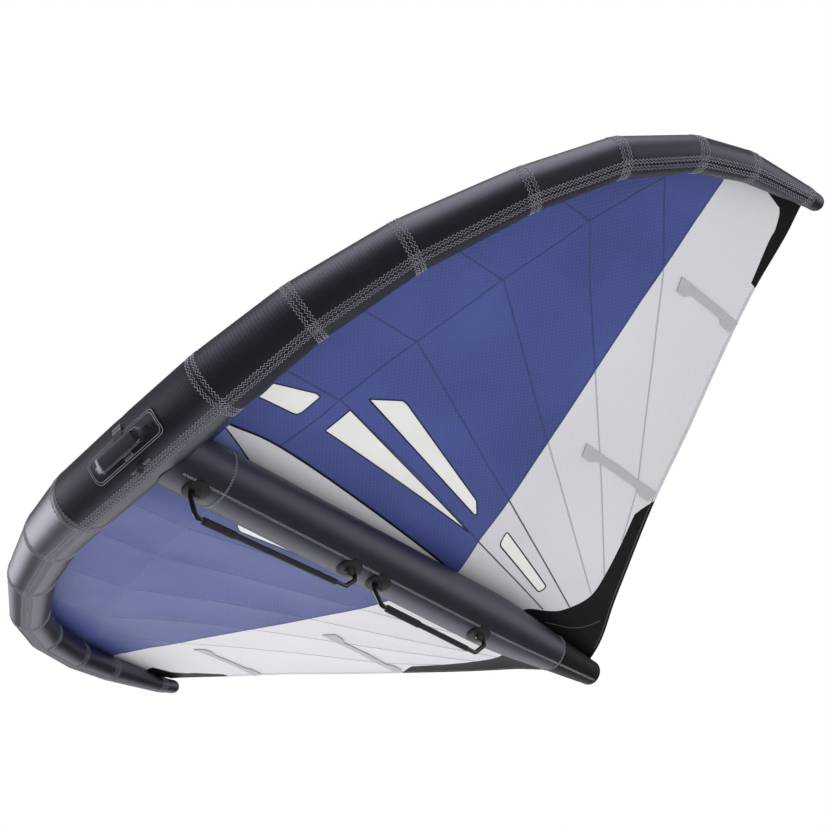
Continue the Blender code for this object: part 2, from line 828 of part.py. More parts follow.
def strut_handle(k, tag, mats):
    corners = handle_corners(k)
    path = rounded(corners, BAR_BEND, BEND_STEPS)
    bm = swept(path, Vector((1, 0, 0)), [(BAR_RADIUS, BAR_RADIUS)] * len(path), BAR_SIDES)
    axis = Vector((0, LEG_Y[k][0], swing_axis_z()))
    bar = make("handle_bar_" + tag, bm, mats["bar"], axis)
    reach = BAR_RADIUS + LEG_CLEAR + EYE_LENGTH
    for end, way in ((0, 1), (1, -1)):
        foot = Vector((0, LEG_Y[k][end], swing_axis_z()))
        pin = rod(foot, Vector((0, way, 0)), Vector((0, 0, 1)), PIN_RADIUS, reach, PIN_SIDES)
        boolean(bar, cutter("pin_%s_%d" % (tag, end), pin), "UNION")
        pad("handle_pad_%s_%s" % (tag, ("fore", "aft")[end]), k, end, way, mats["rubber"])
    grip(k, tag, corners, axis, mats["grip"])


def grip(k, tag, corners, axis, mat):
    along = (corners[3] - corners[2]).normalized()
    start = corners[2] + along * THICK_GRIP_FROM[k]
    end = (corners[3] - corners[2]).length - THIN_GRIP_END - THICK_GRIP_FROM[k]
    thick, thin, bore = THICK_GRIP_RADIUS, THIN_GRIP_RADIUS, BAR_RADIUS + GAP
    long = THICK_GRIP_LENGTH[k]
    ease = thick - thin
    profile = [(bore, 0), (thick - ease, 0), (thick, ease), (thick, long), (thin, long + ease),
               (thin, end), (bore, end)]
    make("handle_grip_" + tag, turned(profile, start, along, Vector((1, 0, 0)), GRIP_SIDES), mat, axis)


def pad(name, k, end, way, mat):
    near = LEG_Y[k][end] + way * (BAR_RADIUS + LEG_CLEAR)
    middle = near + way * EYE_LENGTH / 2
    outline = [(PAD_RADIUS * cos(2 * pi * n / PAD_SIDES), middle + PAD_RADIUS * sin(2 * pi * n / PAD_SIDES))
               for n in range(PAD_SIDES)]
    disc = sheet(name, outline, [], strut_place, CURVE_SEAT, PAD_THICK, PAD_STEP, mat)
    low = swing_axis_z()
    top = -(STRUT_RADIUS + EYE_SINK)
    turns = [pi * n / 8 for n in range(9)]
    shape = [(EYE_RADIUS * cos(a), low - EYE_RADIUS * sin(a)) for a in turns]
    shape += [(-EYE_RADIUS, top), (EYE_RADIUS, top)]
    ends = (middle - EYE_LENGTH / 2, middle + EYE_LENGTH / 2)
    eye = closed_tube([[Vector((x, y, z)) for x, z in shape] for y in ends])
    boolean(disc, cutter(name + "_eye", eye), "UNION")
    hole = rod(Vector((0, middle, low)), Vector((0, 1, 0)), Vector((0, 0, 1)),
               PIN_RADIUS + PIN_PLAY, EYE_LENGTH / 2 + OVERRUN, PIN_SIDES, EYE_LENGTH / 2 + OVERRUN)
    boolean(disc, cutter(name + "_hole", hole), "DIFFERENCE")


# Soft handle and leash loop

def corner_round(x0, x1, y0, y1, r):
    points = []
    for cx, cy, start in ((x1 - r, y0 + r, -pi / 2), (x1 - r, y1 - r, 0), (x0 + r, y1 - r, pi / 2),
                          (x0 + r, y0 + r, pi)):
        for n in range(4):
            a = start + n * pi / 6
            points.append((cx + r * cos(a), cy + r * sin(a)))
    return points


def nose_frame(angle):
    # Outward direction of the tube there, and the direction up round it
    out = Vector((0, -cos(angle), -sin(angle)))
    return out, Vector((1, 0, 0)).cross(out)


def nose_point(angle, lift):
    return nose_place(0, angle * NOSE_RADIUS, lift)


def soft_handle(mats):
    arc = NOSE_RADIUS
    outline = corner_round(-PATCH_HALF, PATCH_HALF, PATCH_TOP * arc, PATCH_BOTTOM * arc, PATCH_CORNER)
    sheet("le_handle_patch", outline, [], nose_place, CURVE_SEAT, PATCH_THICK, PATCH_STEP, mats["patch"])
    lift = PATCH_THICK + 2 * CURVE_SEAT
    strap = [(-STRAP_HALF, STRAP_TOP * arc), (STRAP_HALF, STRAP_TOP * arc),
             (STRAP_HALF, STRAP_BOTTOM * arc), (-STRAP_HALF, STRAP_BOTTOM * arc)]
    sheet("le_handle_strap", strap, [], nose_place, lift, STRAP_THICK, PATCH_STEP, mats["webbing"])
    out, round_way = nose_frame(GRIP_ANGLE)
    foot = lift + GRIP_END - GAP
    seat = nose_place(GRIP_HALF, GRIP_ANGLE * arc, foot)
    base = Vector((0, seat.y, seat.z))
    path, sizes = [], []
    for k in range(-2 * GRIP_STEPS, 2 * GRIP_STEPS + 1):
        x = GRIP_HALF * k / (2 * GRIP_STEPS)
        s = min(1, (GRIP_HALF - abs(x)) / GRIP_RISE)
        s = s * s * (3 - 2 * s)
        path.append(base + Vector((x, 0, 0)) + out * (GRIP_LIFT - foot) * s)
        sizes.append((GRIP_END + (GRIP_WIDE - GRIP_END) * s, GRIP_END + (GRIP_THICK - GRIP_END) * s))
    make("le_handle_grip", swept(path, round_way, sizes, GRIP_SIDES), mats["grip"], base)


def leash(mats):
    arc = LEASH_ANGLE * NOSE_RADIUS
    outline = corner_round(-WING_HALF, WING_HALF, arc - WING_WIDE / 2, arc + WING_WIDE / 2, WING_WIDE / 4)
    sheet("leash_patch", outline, [], nose_place, CURVE_SEAT, WING_THICK, PATCH_STEP / 2, mats["patch"])
    out, round_way = nose_frame(LEASH_ANGLE)
    foot = nose_point(LEASH_ANGLE, CURVE_SEAT + GAP + WING_THICK + LOOP_FOOT)
    rings = []
    for k in range(LOOP_STEPS):
        a = 2 * pi * k / LOOP_STEPS
        x, rise = LOOP_HALF * sin(a), LOOP_HEIGHT / 2 * (1 - cos(a))
        centre = foot + Vector((x, 0, 0)) + out * rise
        normal = Vector((LOOP_HEIGHT * sin(a), 0, 0)) - out * (2 * LOOP_HALF * cos(a))
        normal.normalize()
        wide = LOOP_FOOT_WIDE + (LOOP_WIDE - LOOP_FOOT_WIDE) * min(1, 3 * rise / LOOP_HEIGHT)
        rings.append([centre + normal * (LOOP_BAND * i) + round_way * (wide * j)
                      for i, j in ((1, 1), (1, -1), (-1, -1), (-1, 1))])
    bm = bmesh.new()
    loops = skin(bm, rings)
    bridge(bm, loops[-1], loops[0], False)
    make("leash_loop", bm, mats["webbing"], foot)


# Small hinges: two ears with a pin, and a knuckle that turns on it

def hinge_ears(ob, tag, centre, axis, out, reach):
    # The ears run from the hinge back into the piece that carries them
    side = axis.cross(out)
    for way in (1, -1):
        shift = axis * (way * (KNUCKLE_HALF + EAR_CLEAR + EAR_THICK / 2))
        place = centre + shift - out * ((reach - KNUCKLE) / 2)
        ear = block(place, (axis, out, side), (EAR_THICK / 2, (reach + KNUCKLE) / 2, KNUCKLE))
        boolean(ob, cutter("%s_ear_%d" % (tag, way), ear), "UNION")
    half = KNUCKLE_HALF + EAR_CLEAR + EAR_THICK / 2
    pin = rod(centre, axis, out, HINGE_PIN, half, SMALL_SIDES, half)
    boolean(ob, cutter(tag + "_pin", pin), "UNION")


def hinge_knuckle(ob, tag, centre, axis, out):
    half = KNUCKLE_HALF
    barrel = rod(centre, axis, out, KNUCKLE, half, SMALL_SIDES, half)
    boolean(ob, cutter(tag + "_barrel", barrel), "UNION")
    bore = rod(centre, axis, out, KNUCKLE_BORE, half + EAR_THICK, SMALL_SIDES, half + EAR_THICK)
    boolean(ob, cutter(tag + "_bore", bore), "DIFFERENCE")


# Valve

def valve_frame():
    along = Vector((0, cos(VALVE_ANGLE), sin(VALVE_ANGLE)))
    x = centre_place(VALVE_X_SHARE)
    seat = Vector((-x, 0, -AXIS_DROP)) + along * (GAP - nose_place(x, 0, 0).y)
    down = Vector((0, sin(VALVE_ANGLE), -cos(VALVE_ANGLE)))
    return seat, along, down


def valve(panel, film, mats):
    seat, along, down = valve_frame()
    across = Vector((1, 0, 0))
    neck, bore, rim = VALVE_NECK, VALVE_BORE, VALVE_RIM
    profile = [(bore, -VALVE_DEPTH), (neck, -VALVE_DEPTH), (neck, 0), (VALVE_FLANGE, 0),
               (VALVE_FLANGE, VALVE_FLANGE_THICK), (rim, VALVE_FLANGE_THICK), (rim, VALVE_HEIGHT),
               (bore, VALVE_HEIGHT)]
    base = make("valve_base", turned(profile, seat, along, across, TUBE_SIDES), mats["plastic"])
    top = VALVE_HEIGHT + GAP
    rise = top + CAP_THICK / 2
    hinge = seat + along * rise + down * CAP_HINGE_OUT
    hinge_ears(base, "valve", hinge, across, along, rise - VALVE_FLANGE_THICK / 2)
    profile = [(CAP_PLUG, top - CAP_PLUG_DEPTH), (CAP_PLUG, top), (CAP_RADIUS, top),
               (CAP_RADIUS, top + CAP_THICK)]
    cap = make("valve_cap", turned_solid(profile, seat, along, across, TUBE_SIDES), mats["plastic"], hinge)
    arm_half = (CAP_HINGE_OUT - CAP_RADIUS + CAP_THICK) / 2
    arm_mid = hinge - down * arm_half
    arm = block(arm_mid, (across, along, down), (KNUCKLE_HALF, CAP_THICK / 2 - GAP, arm_half))
    boolean(cap, cutter("cap_arm", arm), "UNION")
    hinge_knuckle(cap, "cap", hinge, across, down)
    hole = rod(seat, along, across, neck + HOLE_PLAY, OVERRUN, TUBE_SIDES, VALVE_DEPTH + OVERRUN)
    boolean(panel, cutter("valve_hole", hole), "DIFFERENCE")
    hole = rod(seat, along, across, neck + HOLE_PLAY, OVERRUN, TUBE_SIDES, VALVE_DEPTH + OVERRUN)
    boolean(film, cutter("valve_film_hole", hole), "DIFFERENCE")


# Hose and clamp

def hose_ends():
    lift = Vector((0, cos(HOSE_RISE), sin(HOSE_RISE)))
    x = centre_place(HOSE_X_SHARE)
    start = Vector((-x, 0, -AXIS_DROP)) + lift * (-nose_place(x, 0, 0).y)
    side = Vector((-cos(HOSE_RISE), 0, sin(HOSE_RISE)))
    stop = Vector((0, HOSE_STRUT_Y, 0)) + side * STRUT_RADIUS
    return start, lift, stop, side


def hose_path():
    start, lift, stop, side = hose_ends()
    a, b = start + lift * HOSE_PULL, stop + side * HOSE_PULL
    path = [start - lift * HOSE_IN]
    for k in range(HOSE_STEPS + 1):
        s = k / HOSE_STEPS
        path.append(start * (1 - s) ** 3 + a * (3 * s * (1 - s) ** 2) + b * (3 * s * s * (1 - s))
                    + stop * s ** 3)
    return path + [stop - side * HOSE_IN]


def hose(le_panel_ob, le_film, sleeve, film, mats):
    path = hose_path()
    items = frames(path, Vector((0, 0, 1)))
    walls = [[circle(p, u, v, r, r, SMALL_SIDES) for p, t, u, v in items] for r in (HOSE_RADIUS, HOSE_BORE)]
    make("strut_hose", open_tube(*walls), mats["hose"])
    start, lift, stop, side = hose_ends()
    hole = HOSE_RADIUS + HOLE_PLAY
    for ob, tag, centre, way in ((le_panel_ob, "le", start, lift), (le_film, "le_film", start, lift),
                                 (sleeve, "sleeve", stop, side), (film, "film", stop, side)):
        across = Vector((1, 1, 1)).normalized()
        drill = rod(centre, way, across, hole, OVERRUN, SMALL_SIDES * 2, 2 * OVERRUN)
        boolean(ob, cutter("hose_hole_" + tag, drill), "DIFFERENCE")
    clamp(items[len(items) // 2], mats["plastic"])


def clamp(item, mat):
    centre, along, up, across = item
    inner = HOSE_RADIUS + CLAMP_PLAY
    outer = inner + CLAMP_WALL
    drop = inner + CLAMP_DROP
    shape = [(-outer, outer), (outer, outer), (outer, -drop), (inner, -drop), (inner, inner),
             (-inner, inner), (-inner, -drop), (-outer, -drop)]
    ends = (centre - along * CLAMP_HALF, centre + along * CLAMP_HALF)
    rings = [[p + across * a + up * b for a, b in shape] for p in ends]
    frame = make("hose_clamp_frame", closed_tube(rings), mat)
    down = -up
    hinge = centre + across * (inner + CLAMP_WALL / 2) + down * (drop + KNUCKLE + EAR_CLEAR)
    hinge_ears(frame, "clamp", hinge, along, down, KNUCKLE + EAR_CLEAR + CLAMP_WALL)
    out = (across * cos(LEVER_OPEN) * -1 + down * sin(LEVER_OPEN)).normalized()
    thick = out.cross(along)
    lever_mid = hinge + out * (LEVER_LENGTH / 2)
    lever = block(lever_mid, (along, out, thick), (KNUCKLE_HALF, LEVER_LENGTH / 2, LEVER_THICK / 2))
    ob = make("hose_clamp_lever", lever, mat, hinge)
    hinge_knuckle(ob, "lever", hinge, along, out)


def set_down():
    # Origin under the middle of the finished wing's box
    bpy.context.view_layer.update()
    graph = bpy.context.evaluated_depsgraph_get()
    points = []
    for ob in bpy.data.objects:
        if ob.type == "MESH" and not ob.hide_render:
            shape = ob.evaluated_get(graph)
            points += [shape.matrix_world @ v.co for v in shape.data.vertices]
    low = [min(p[k] for p in points) for k in range(3)]
    high = [max(p[k] for p in points) for k in range(3)]
    ROOT.location = (0, -(low[1] + high[1]) / 2, -low[2])


def palette():
    return {
        "le": material("leading_edge_cloth", "#2b2c33", 0.62),
        "strut": material("strut_cloth", "#3e3f46", 0.62),
        "film": material("bladder_film", "#d8dadd", 0.35, 0.0, 0.5),
        "blue": material("blue_ripstop", "#4f5b8f", 0.5),
        "pale": material("pale_ripstop", "#d2d1d6", 0.5),
        "clear": material("window_film", "#e6e6ea", 0.15, 0.0, 0.35),
        "patch": material("black_patch", "#17171a", 0.7),
        "batten": material("batten_fibre", "#cfd0d4", 0.4),
        "bar": material("handle_tube", "#1b1c20", 0.35, 0.4),
        "grip": material("handle_grip", "#24252a", 0.8),
        "rubber": material("pad_rubber", "#141416", 0.7),
        "webbing": material("webbing", "#3a3b40", 0.8),
        "plastic": material("valve_plastic", "#1e1f23", 0.45),
        "hose": material("hose", "#c9ccd0", 0.35),
    }


def build():
    mats = palette()
    centre = le_centre_panel(mats["le"])
    for tag, side in (("right", 1), ("left", -1)):
        for k in range(1, 8):
            le_panel("le_panel_%s_%d" % (tag, k), k, side, mats["le"])
        tip_cap("le_tip_cap_" + tag, side, mats["patch"])
    film = le_bladder(mats["film"])
    sleeve, strut_film = strut(mats)
    canopy(mats)
    battens(mats["batten"])
    for k, tag in enumerate(("front", "rear")):
        strut_handle(k, tag, mats)
    soft_handle(mats)
    leash(mats)
    valve(centre, film, mats)
    hose(centre, film, sleeve, strut_film, mats)
    set_down()


clear_scene()
ROOT = bpy.data.objects.new("wing", None)
bpy.context.scene.collection.objects.link(ROOT)
build()
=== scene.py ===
from math import acos, copysign, cos, pi, radians, sin, sqrt

import bmesh
import bpy
import numpy as np
from mathutils import Matrix, Vector
from mathutils.geometry import delaunay_2d_cdt


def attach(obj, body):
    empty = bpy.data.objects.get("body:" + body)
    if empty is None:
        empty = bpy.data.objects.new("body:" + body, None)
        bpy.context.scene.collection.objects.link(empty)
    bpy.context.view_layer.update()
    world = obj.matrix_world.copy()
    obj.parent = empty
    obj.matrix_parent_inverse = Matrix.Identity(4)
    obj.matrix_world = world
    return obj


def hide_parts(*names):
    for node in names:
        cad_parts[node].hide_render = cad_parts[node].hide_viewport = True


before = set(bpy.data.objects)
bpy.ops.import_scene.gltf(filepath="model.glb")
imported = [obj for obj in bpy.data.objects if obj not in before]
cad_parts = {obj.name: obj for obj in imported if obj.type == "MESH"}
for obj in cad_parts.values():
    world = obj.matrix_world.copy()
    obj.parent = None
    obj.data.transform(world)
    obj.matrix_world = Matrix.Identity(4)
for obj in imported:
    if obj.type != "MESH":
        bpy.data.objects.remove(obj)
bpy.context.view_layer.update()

SHIFT = Vector((0, -0.953560, 0.204981))
X_AXIS, Z_AXIS = Vector((1, 0, 0)), Vector((0, 0, 1))
SIDES = (("right", 1), ("left", -1))

# The same sizes and shares as the solids
HALF_SPAN = 1.636
SWEEP = 1.381
RISE = 0.626
CHORD = 2.0
NOSE = 0.104
AXIS_DROP = 0.004
LEAN = radians(20)
CAMBER = 0.030
BLEND = 0.250
STRUT = 0.093
RING_X = (0, .183, .354, .537, .720, .845, .9285, .970, .9975, 1.0)
RING_Y = (0, 0, .062, .148, .282, .424, .590, .742, .953, 1.0)
RING_Z = (0, 0, .1725, .316, .484, .660, .791, .879, .973, 1.0)
RING_R = (1, .971, .885, .769, .644, .587, .529, .452, .298, .269)
LEANS = (0, .3, .8, 1, 1, 1, 1, 1, 1, 1)
TAIL_X = (0, .067, .200, .381, .536, .667, .812, .933, .975, .991)
TAIL_Y = (1.0, .976, .9155, .842, .798, .757, .715, .6975, .6855, .682)
TAIL_Z = (.073, .118, .209, .369, .538, .679, .826, .976, 1.019, 1.035)
CAMBER_X = (0, .672, .825, .978)
CAMBERS = (1, 1, .75, 0)
STRUT_Y = (0, .075, .725, .80, .90, .96, 1.0)
STRUT_R = (1.075, 1, 1, .892, .677, .559, .473)
STRUT_SEAMS = (.250, 1.775)

WEDGE = ((0, .1015), (.075, .1025), (.084, .192), (.064, .376), (.029, .593), (0, .632))
COLOUR_LINE = ((0, .632), (.031, .631), (.112, .612), (.666, .542), (.850, .524), (.919, .516))
TAIL_PATCH = ((.333, .828), (.263, .8525), (.198, .8725), (.136, .885), (.083, .862),
              (.061, .8415), (.035, .804), (0, .800))
TIP_PATCH = ((.953, .6095), (.946, .6505), (.936, .6605), (.912, .6735), (.887, .6785), (.814, .701))
WINDOWS = {
    "right_a": ((.152, .103), (.190, .105), (.212, .174), (.210, .184), (.167, .178), (.158, .174),
                (.156, .166)),
    "right_b": ((.216, .240), (.156, .232), (.119, .585)),
    "right_c": ((.248, .255), (.276, .308), (.274, .319), (.184, .549), (.160, .570), (.156, .566)),
    "right_d": ((.161, .643), (.128, .652), (.083, .792), (.103, .796)),
    "left": ((.144, .2655), (.159, .2815), (.144, .409), (.122, .575), (.100, .40), (.104, .262)),
}

# Rear edge of the blue corner between the leading edge and the strut, metres
CORNER = [(.104, .2046), (.092, .235), (.071, .285), (.048, .335), (.020, .400), (0, .448)]

# Seams sewn across the canopy, and one beside the tail patch, metres
CROSS_SEAM = ((.136, .385), (.365, .428), (.622, .513), (.911, .604), (1.188, .712), (1.406, .838))
RADIAL_SEAMS = (((.365, .428), (.273, .874), (.181, 1.237), (.09, 1.656)),
                ((.622, .513), (.427, 1.013), (.359, 1.198), (.149, 1.738)),
                ((.911, .604), (.605, 1.118), (.499, 1.306), (.23, 1.767)),
                ((1.188, .712), (1.042, .876), (.853, 1.11), (.575, 1.444), (.308, 1.753)),
                ((1.406, .838), (1.187, 1.088), (.954, 1.298), (.619, 1.589), (.440, 1.700)))
FRONT_SEAMS_X = (.363, .620, .908, 1.186)
TAIL_SEAM = [(.051, 1.709), (.086, 1.806), (.115, 1.845), (.167, 1.885)]
BATTENS = ((.628, 1.302, 1.660), (1.200, 1.165, 1.462))


def interp(x, xs, ys):
    return float(np.interp(x, xs, ys))


def ease(s):
    s = np.clip(s, 0, 1)
    return s * s * (3 - 2 * s)


def square_to(up, along):
    # The part of a direction that stands square to another direction
    return (up - along * up.dot(along)).normalized()


def angles_round(count):
    return [2 * pi * k / count for k in range(count)]


def steps_along(line):
    # Each point of a line with the direction of the line there
    return [(p, (after - before).normalized())
            for before, p, after in zip(line[:1] + line, line, line[1:] + line[-1:])]


def mirrored(p, side):
    return Vector((p.x * side, p.y, p.z))


def plan(shares):
    return [(x * HALF_SPAN, y * CHORD) for x, y in shares]


def bend_through(xs, ys, steps=16):
    # A smooth table through the points of a table
    xs, ys = np.array(xs, float), np.array(ys, float)
    slopes = np.gradient(ys, xs)
    fine_x, fine_y = [xs[0]], [ys[0]]
    for x, y, slope, end_x, end_y, end_slope in zip(xs, ys, slopes, xs[1:], ys[1:], slopes[1:]):
        span = end_x - x
        for n in range(1, steps + 1):
            t = n / steps
            fine_x.append(x + t * span)
            fine_y.append((2 * t ** 3 - 3 * t ** 2 + 1) * y + (t ** 3 - 2 * t ** 2 + t) * span * slope
                          + (3 * t ** 2 - 2 * t ** 3) * end_y + (t ** 3 - t ** 2) * span * end_slope)
    return np.array(fine_x), np.array(fine_y)


def smooth_edge(shares, steps=6):
    # The edge of a patch: its first point is a sharp corner, and it runs smoothly through the others
    first, *points = [Vector(p) for p in plan(shares)]
    ends = [points[0] * 2 - points[1]] + points + [points[-1] * 2 - points[-2]]
    line = [points[0]]
    for a, b, c, d in zip(ends, ends[1:], ends[2:], ends[3:]):
        for n in range(1, steps + 1):
            t = n / steps
            p = b * 2 + (c - a) * t + (a * 2 - b * 5 + c * 4 - d) * t ** 2
            line.append((p + (b * 3 - a - c * 3 + d) * t ** 3) / 2)
    return plan(shares[:1]) + [tuple(p) for p in line]


TAIL_EDGE, TIP_EDGE, WEDGE_EDGE = smooth_edge(TAIL_PATCH), smooth_edge(TIP_PATCH), smooth_edge(WEDGE)
COLOUR_EDGE = plan(COLOUR_LINE)


# Leading edge tube

CENTRES = [Vector((x * HALF_SPAN, y * SWEEP, z * RISE - AXIS_DROP))
           for x, y, z in zip(RING_X, RING_Y, RING_Z)]
RADII = [r * NOSE for r in RING_R]
LAST = len(CENTRES) - 1


def ring_axes(i):
    before = (CENTRES[i] - CENTRES[i - 1] if i > 0 else CENTRES[1] - CENTRES[0]).normalized()
    after = (CENTRES[i + 1] - CENTRES[i]).normalized() if i < LAST else before
    n = (before + after).normalized()
    lean = LEAN * LEANS[i]
    u = square_to(Vector((-sin(lean), 0, cos(lean))), n)
    return n, before, u, n.cross(u)


AXES = [ring_axes(i) for i in range(LAST + 1)]


def ring_point(i, a, radius, shift=0.0, squeeze=1.0):
    n, along, u, v = AXES[i]
    e = u * cos(a) + v * sin(a)
    return CENTRES[i] + n * shift + e * (radius * squeeze / sqrt(1 - e.dot(along) ** 2))


def tube_place(i, side=1):
    # Place on the tube between rings i and i + 1: share along, angle round, lift off the cloth
    def place(s, a, lift):
        p = ring_point(i, a, RADII[i] + lift).lerp(ring_point(i + 1, a, RADII[i + 1] + lift), s)
        return mirrored(p, side)
    return place


def segment_length(i):
    return (CENTRES[i + 1] - CENTRES[i]).length


# The canopy joins the tube along its top line
FRONT_X, FRONT_Y, FRONT_Z = zip(*[ring_point(i, 0, RADII[i]) for i in range(LAST + 1)])
FRONT = list(zip(FRONT_X, FRONT_Y))


def nose_place(x, arc, lift):
    slope = (1 - RING_R[1]) / RING_X[1]
    radius = NOSE * (1 - slope * abs(x) / HALF_SPAN) + lift
    a = arc / NOSE
    return Vector((x, -radius * cos(a), -radius * sin(a) - AXIS_DROP))


# Strut

def strut_radius(y):
    return STRUT * np.interp(np.asarray(y) / CHORD, STRUT_Y, STRUT_R)


def strut_place(arc, y, lift):
    # Arc from the lowest line of the strut, towards the right tip
    a = arc / STRUT
    r = min(STRUT, float(strut_radius(y))) + lift
    return Vector((r * sin(a), y, -r * cos(a)))


# Canopy surface

SMOOTH_TAIL_Y = bend_through(TAIL_X, TAIL_Y)
SMOOTH_TAIL_Z = bend_through(TAIL_X, TAIL_Z)
SMOOTH_FRONT_Z = bend_through(FRONT_X[:8], FRONT_Z[:8])
PATCH_TAIL_X, TIP_TAIL_X, END_TAIL_X = [TAIL_X[k] * HALF_SPAN for k in (3, 6, -1)]
BILLOW = 0.0055
BILLOW_REACH = 0.060


def trailing_y(x):
    return CHORD * np.interp(np.abs(x) / HALF_SPAN, *SMOOTH_TAIL_Y)


def tail_line(x0, x1, steps=40, inset=0.0):
    return [(x, float(trailing_y(x)) - inset) for x in np.linspace(x0, x1, steps + 1)]


SEAMS = [CROSS_SEAM, *RADIAL_SEAMS] + [((x, interp(x, FRONT_X, FRONT_Y)), (x, interp(x, *zip(*CROSS_SEAM))))
                                       for x in FRONT_SEAMS_X]
EDGES = [FRONT[:9], tail_line(0, END_TAIL_X, 39), COLOUR_EDGE, WEDGE_EDGE, TAIL_EDGE, TIP_EDGE]


def line_distance(x, y, line):
    p = np.stack([x, y], -1)
    best = np.full(p.shape[:-1], 9.0)
    for a, b in zip(line, line[1:]):
        a, e = np.array(a), np.array(b) - np.array(a)
        t = np.clip(((p - a) @ e) / (e @ e), 0, 1)
        best = np.minimum(best, np.linalg.norm(p - a - t[..., None] * e, axis=-1))
    return best


def canopy_height(x, y):
    x, y = np.abs(np.asarray(x, float)), np.asarray(y, float)
    y0 = np.interp(x, FRONT_X, FRONT_Y)
    part = (y - y0) / (trailing_y(x) - y0)
    flat = np.interp(x, FRONT_X, FRONT_Z)
    round_z = np.where(x < FRONT_X[7], np.interp(x, *SMOOTH_FRONT_Z), flat)
    z0 = flat + (round_z - flat) * ease(part * 4)
    z1 = RISE * np.interp(x / HALF_SPAN, *SMOOTH_TAIL_Z)
    bow = CAMBER * np.interp(x / HALF_SPAN, CAMBER_X, CAMBERS)
    free = z0 + part * (z1 - z0) + 4 * bow * part * (1 - part)
    w = ease(x / BLEND)
    return (1 - w) * strut_radius(y) + w * free


def billow(x, y):
    # Cloth between two seams stands up a little from the line of the seams
    x, y = np.abs(np.asarray(x, float)), np.asarray(y, float)
    near = np.full(x.shape, 9.0)
    for line in SEAMS + EDGES:
        near = np.minimum(near, line_distance(x, y, line))
    return BILLOW * (1 - np.exp(-near / BILLOW_REACH)) * ease((x - STRUT) / 0.15)


def canopy_places(x, y, lift):
    z = canopy_height(x, y) + billow(x, y) + lift
    return [Vector((float(a), float(b), float(c))) for a, b, c in zip(x, y, z)]


# Materials

# Scale of a wave texture whose bands are one metre apart
METRE_BANDS = 0.314


def colour(hex_value):
    rgb = [int(hex_value[i:i + 2], 16) / 255 for i in (1, 3, 5)]
    return (*[c / 12.92 if c <= 0.04045 else ((c + 0.055) / 1.055) ** 2.4 for c in rgb], 1.0)


def add(tree, kind, settings=None, links=None):
    # A node with its settings and links. A key is a property, an input's name or its number, or "stops" for
    # the places and colours of a ramp. A link comes from a socket, or from the first output of a node.
    made = tree.nodes.new(kind)
    for key, value in (settings or {}).items():
        if key == "stops":
            for stop, (place, shade) in zip(made.color_ramp.elements, value):
                stop.position, stop.color = place, colour(shade)
        elif isinstance(key, str) and hasattr(made, key):
            setattr(made, key, value)
        else:
            made.inputs[key].default_value = value
    for key, source in (links or {}).items():
        tree.links.new(getattr(source, "outputs", [source])[0], made.inputs[key])
    return made


def plain(name, place, **sockets):
    # A new material with its shader's own sockets set, and the places that its patterns follow
    mat = bpy.data.materials.new(name)
    mat.use_nodes = True
    tree = mat.node_tree
    for key, value in sockets.items():
        tree.nodes["Principled BSDF"].inputs[key.replace("_", " ")].default_value = value
    mat.diffuse_color = sockets.get("Base_Color", (0.5, 0.5, 0.5, 1))
    return mat, tree, add(tree, "ShaderNodeTexCoord").outputs[place]


def dress(mat, shade, low, high, height, depth, strength, start=0.2):
    # Colours run from low to high with the shade, and the height makes a relief of that depth
    tree = mat.node_tree
    shader = tree.nodes["Principled BSDF"].inputs
    ramp = add(tree, "ShaderNodeValToRGB", {"stops": ((start, low), (1 - start, high))}, {"Fac": shade})
    relief = add(tree, "ShaderNodeBump", {"Strength": strength, "Distance": depth}, {"Height": height})
    tree.links.new(ramp.outputs["Color"], shader["Base Color"])
    tree.links.new(relief.outputs["Normal"], shader["Normal"])
    return mat


def tube_cloth(name, low, high, rough):
    # Heavy woven polyester of the inflated tubes: yarn ribs run round the tube, matt with a faint sheen.
    # The real yarns are 0.5 mm apart; the ribs are drawn 10 mm apart, so that they show.
    # Coated polyester bends light more than most plastics do, which gives the long soft highlights.
    mat, tree, uv = plain(name, "UV", Roughness=rough, Specular_IOR_Level=1.0, IOR=1.6,
                          Specular_Tint=colour("#e2e2ff"))
    ribs = add(tree, "ShaderNodeTexWave", {"bands_direction": "Y", "Scale": METRE_BANDS / 0.010,
                                           "Distortion": 0.6, "Detail": 2.0}, {"Vector": uv}).outputs["Fac"]
    cloud, fine = [add(tree, "ShaderNodeTexNoise", {"Scale": scale, "Detail": detail},
                       {"Vector": uv}).outputs["Fac"] for scale, detail in ((9.0, 4.0), (900.0, 2.0))]
    faint = add(tree, "ShaderNodeMath", {"operation": "MULTIPLY", 1: 0.14}, {0: ribs})
    shade = add(tree, "ShaderNodeMath", {"operation": "MULTIPLY_ADD", 1: 0.75}, {0: cloud, 2: faint})
    height = add(tree, "ShaderNodeMath", {"operation": "MULTIPLY_ADD", 1: 0.4}, {0: fine, 2: ribs})
    return dress(mat, shade, low, high, height, 0.0003, 0.4)


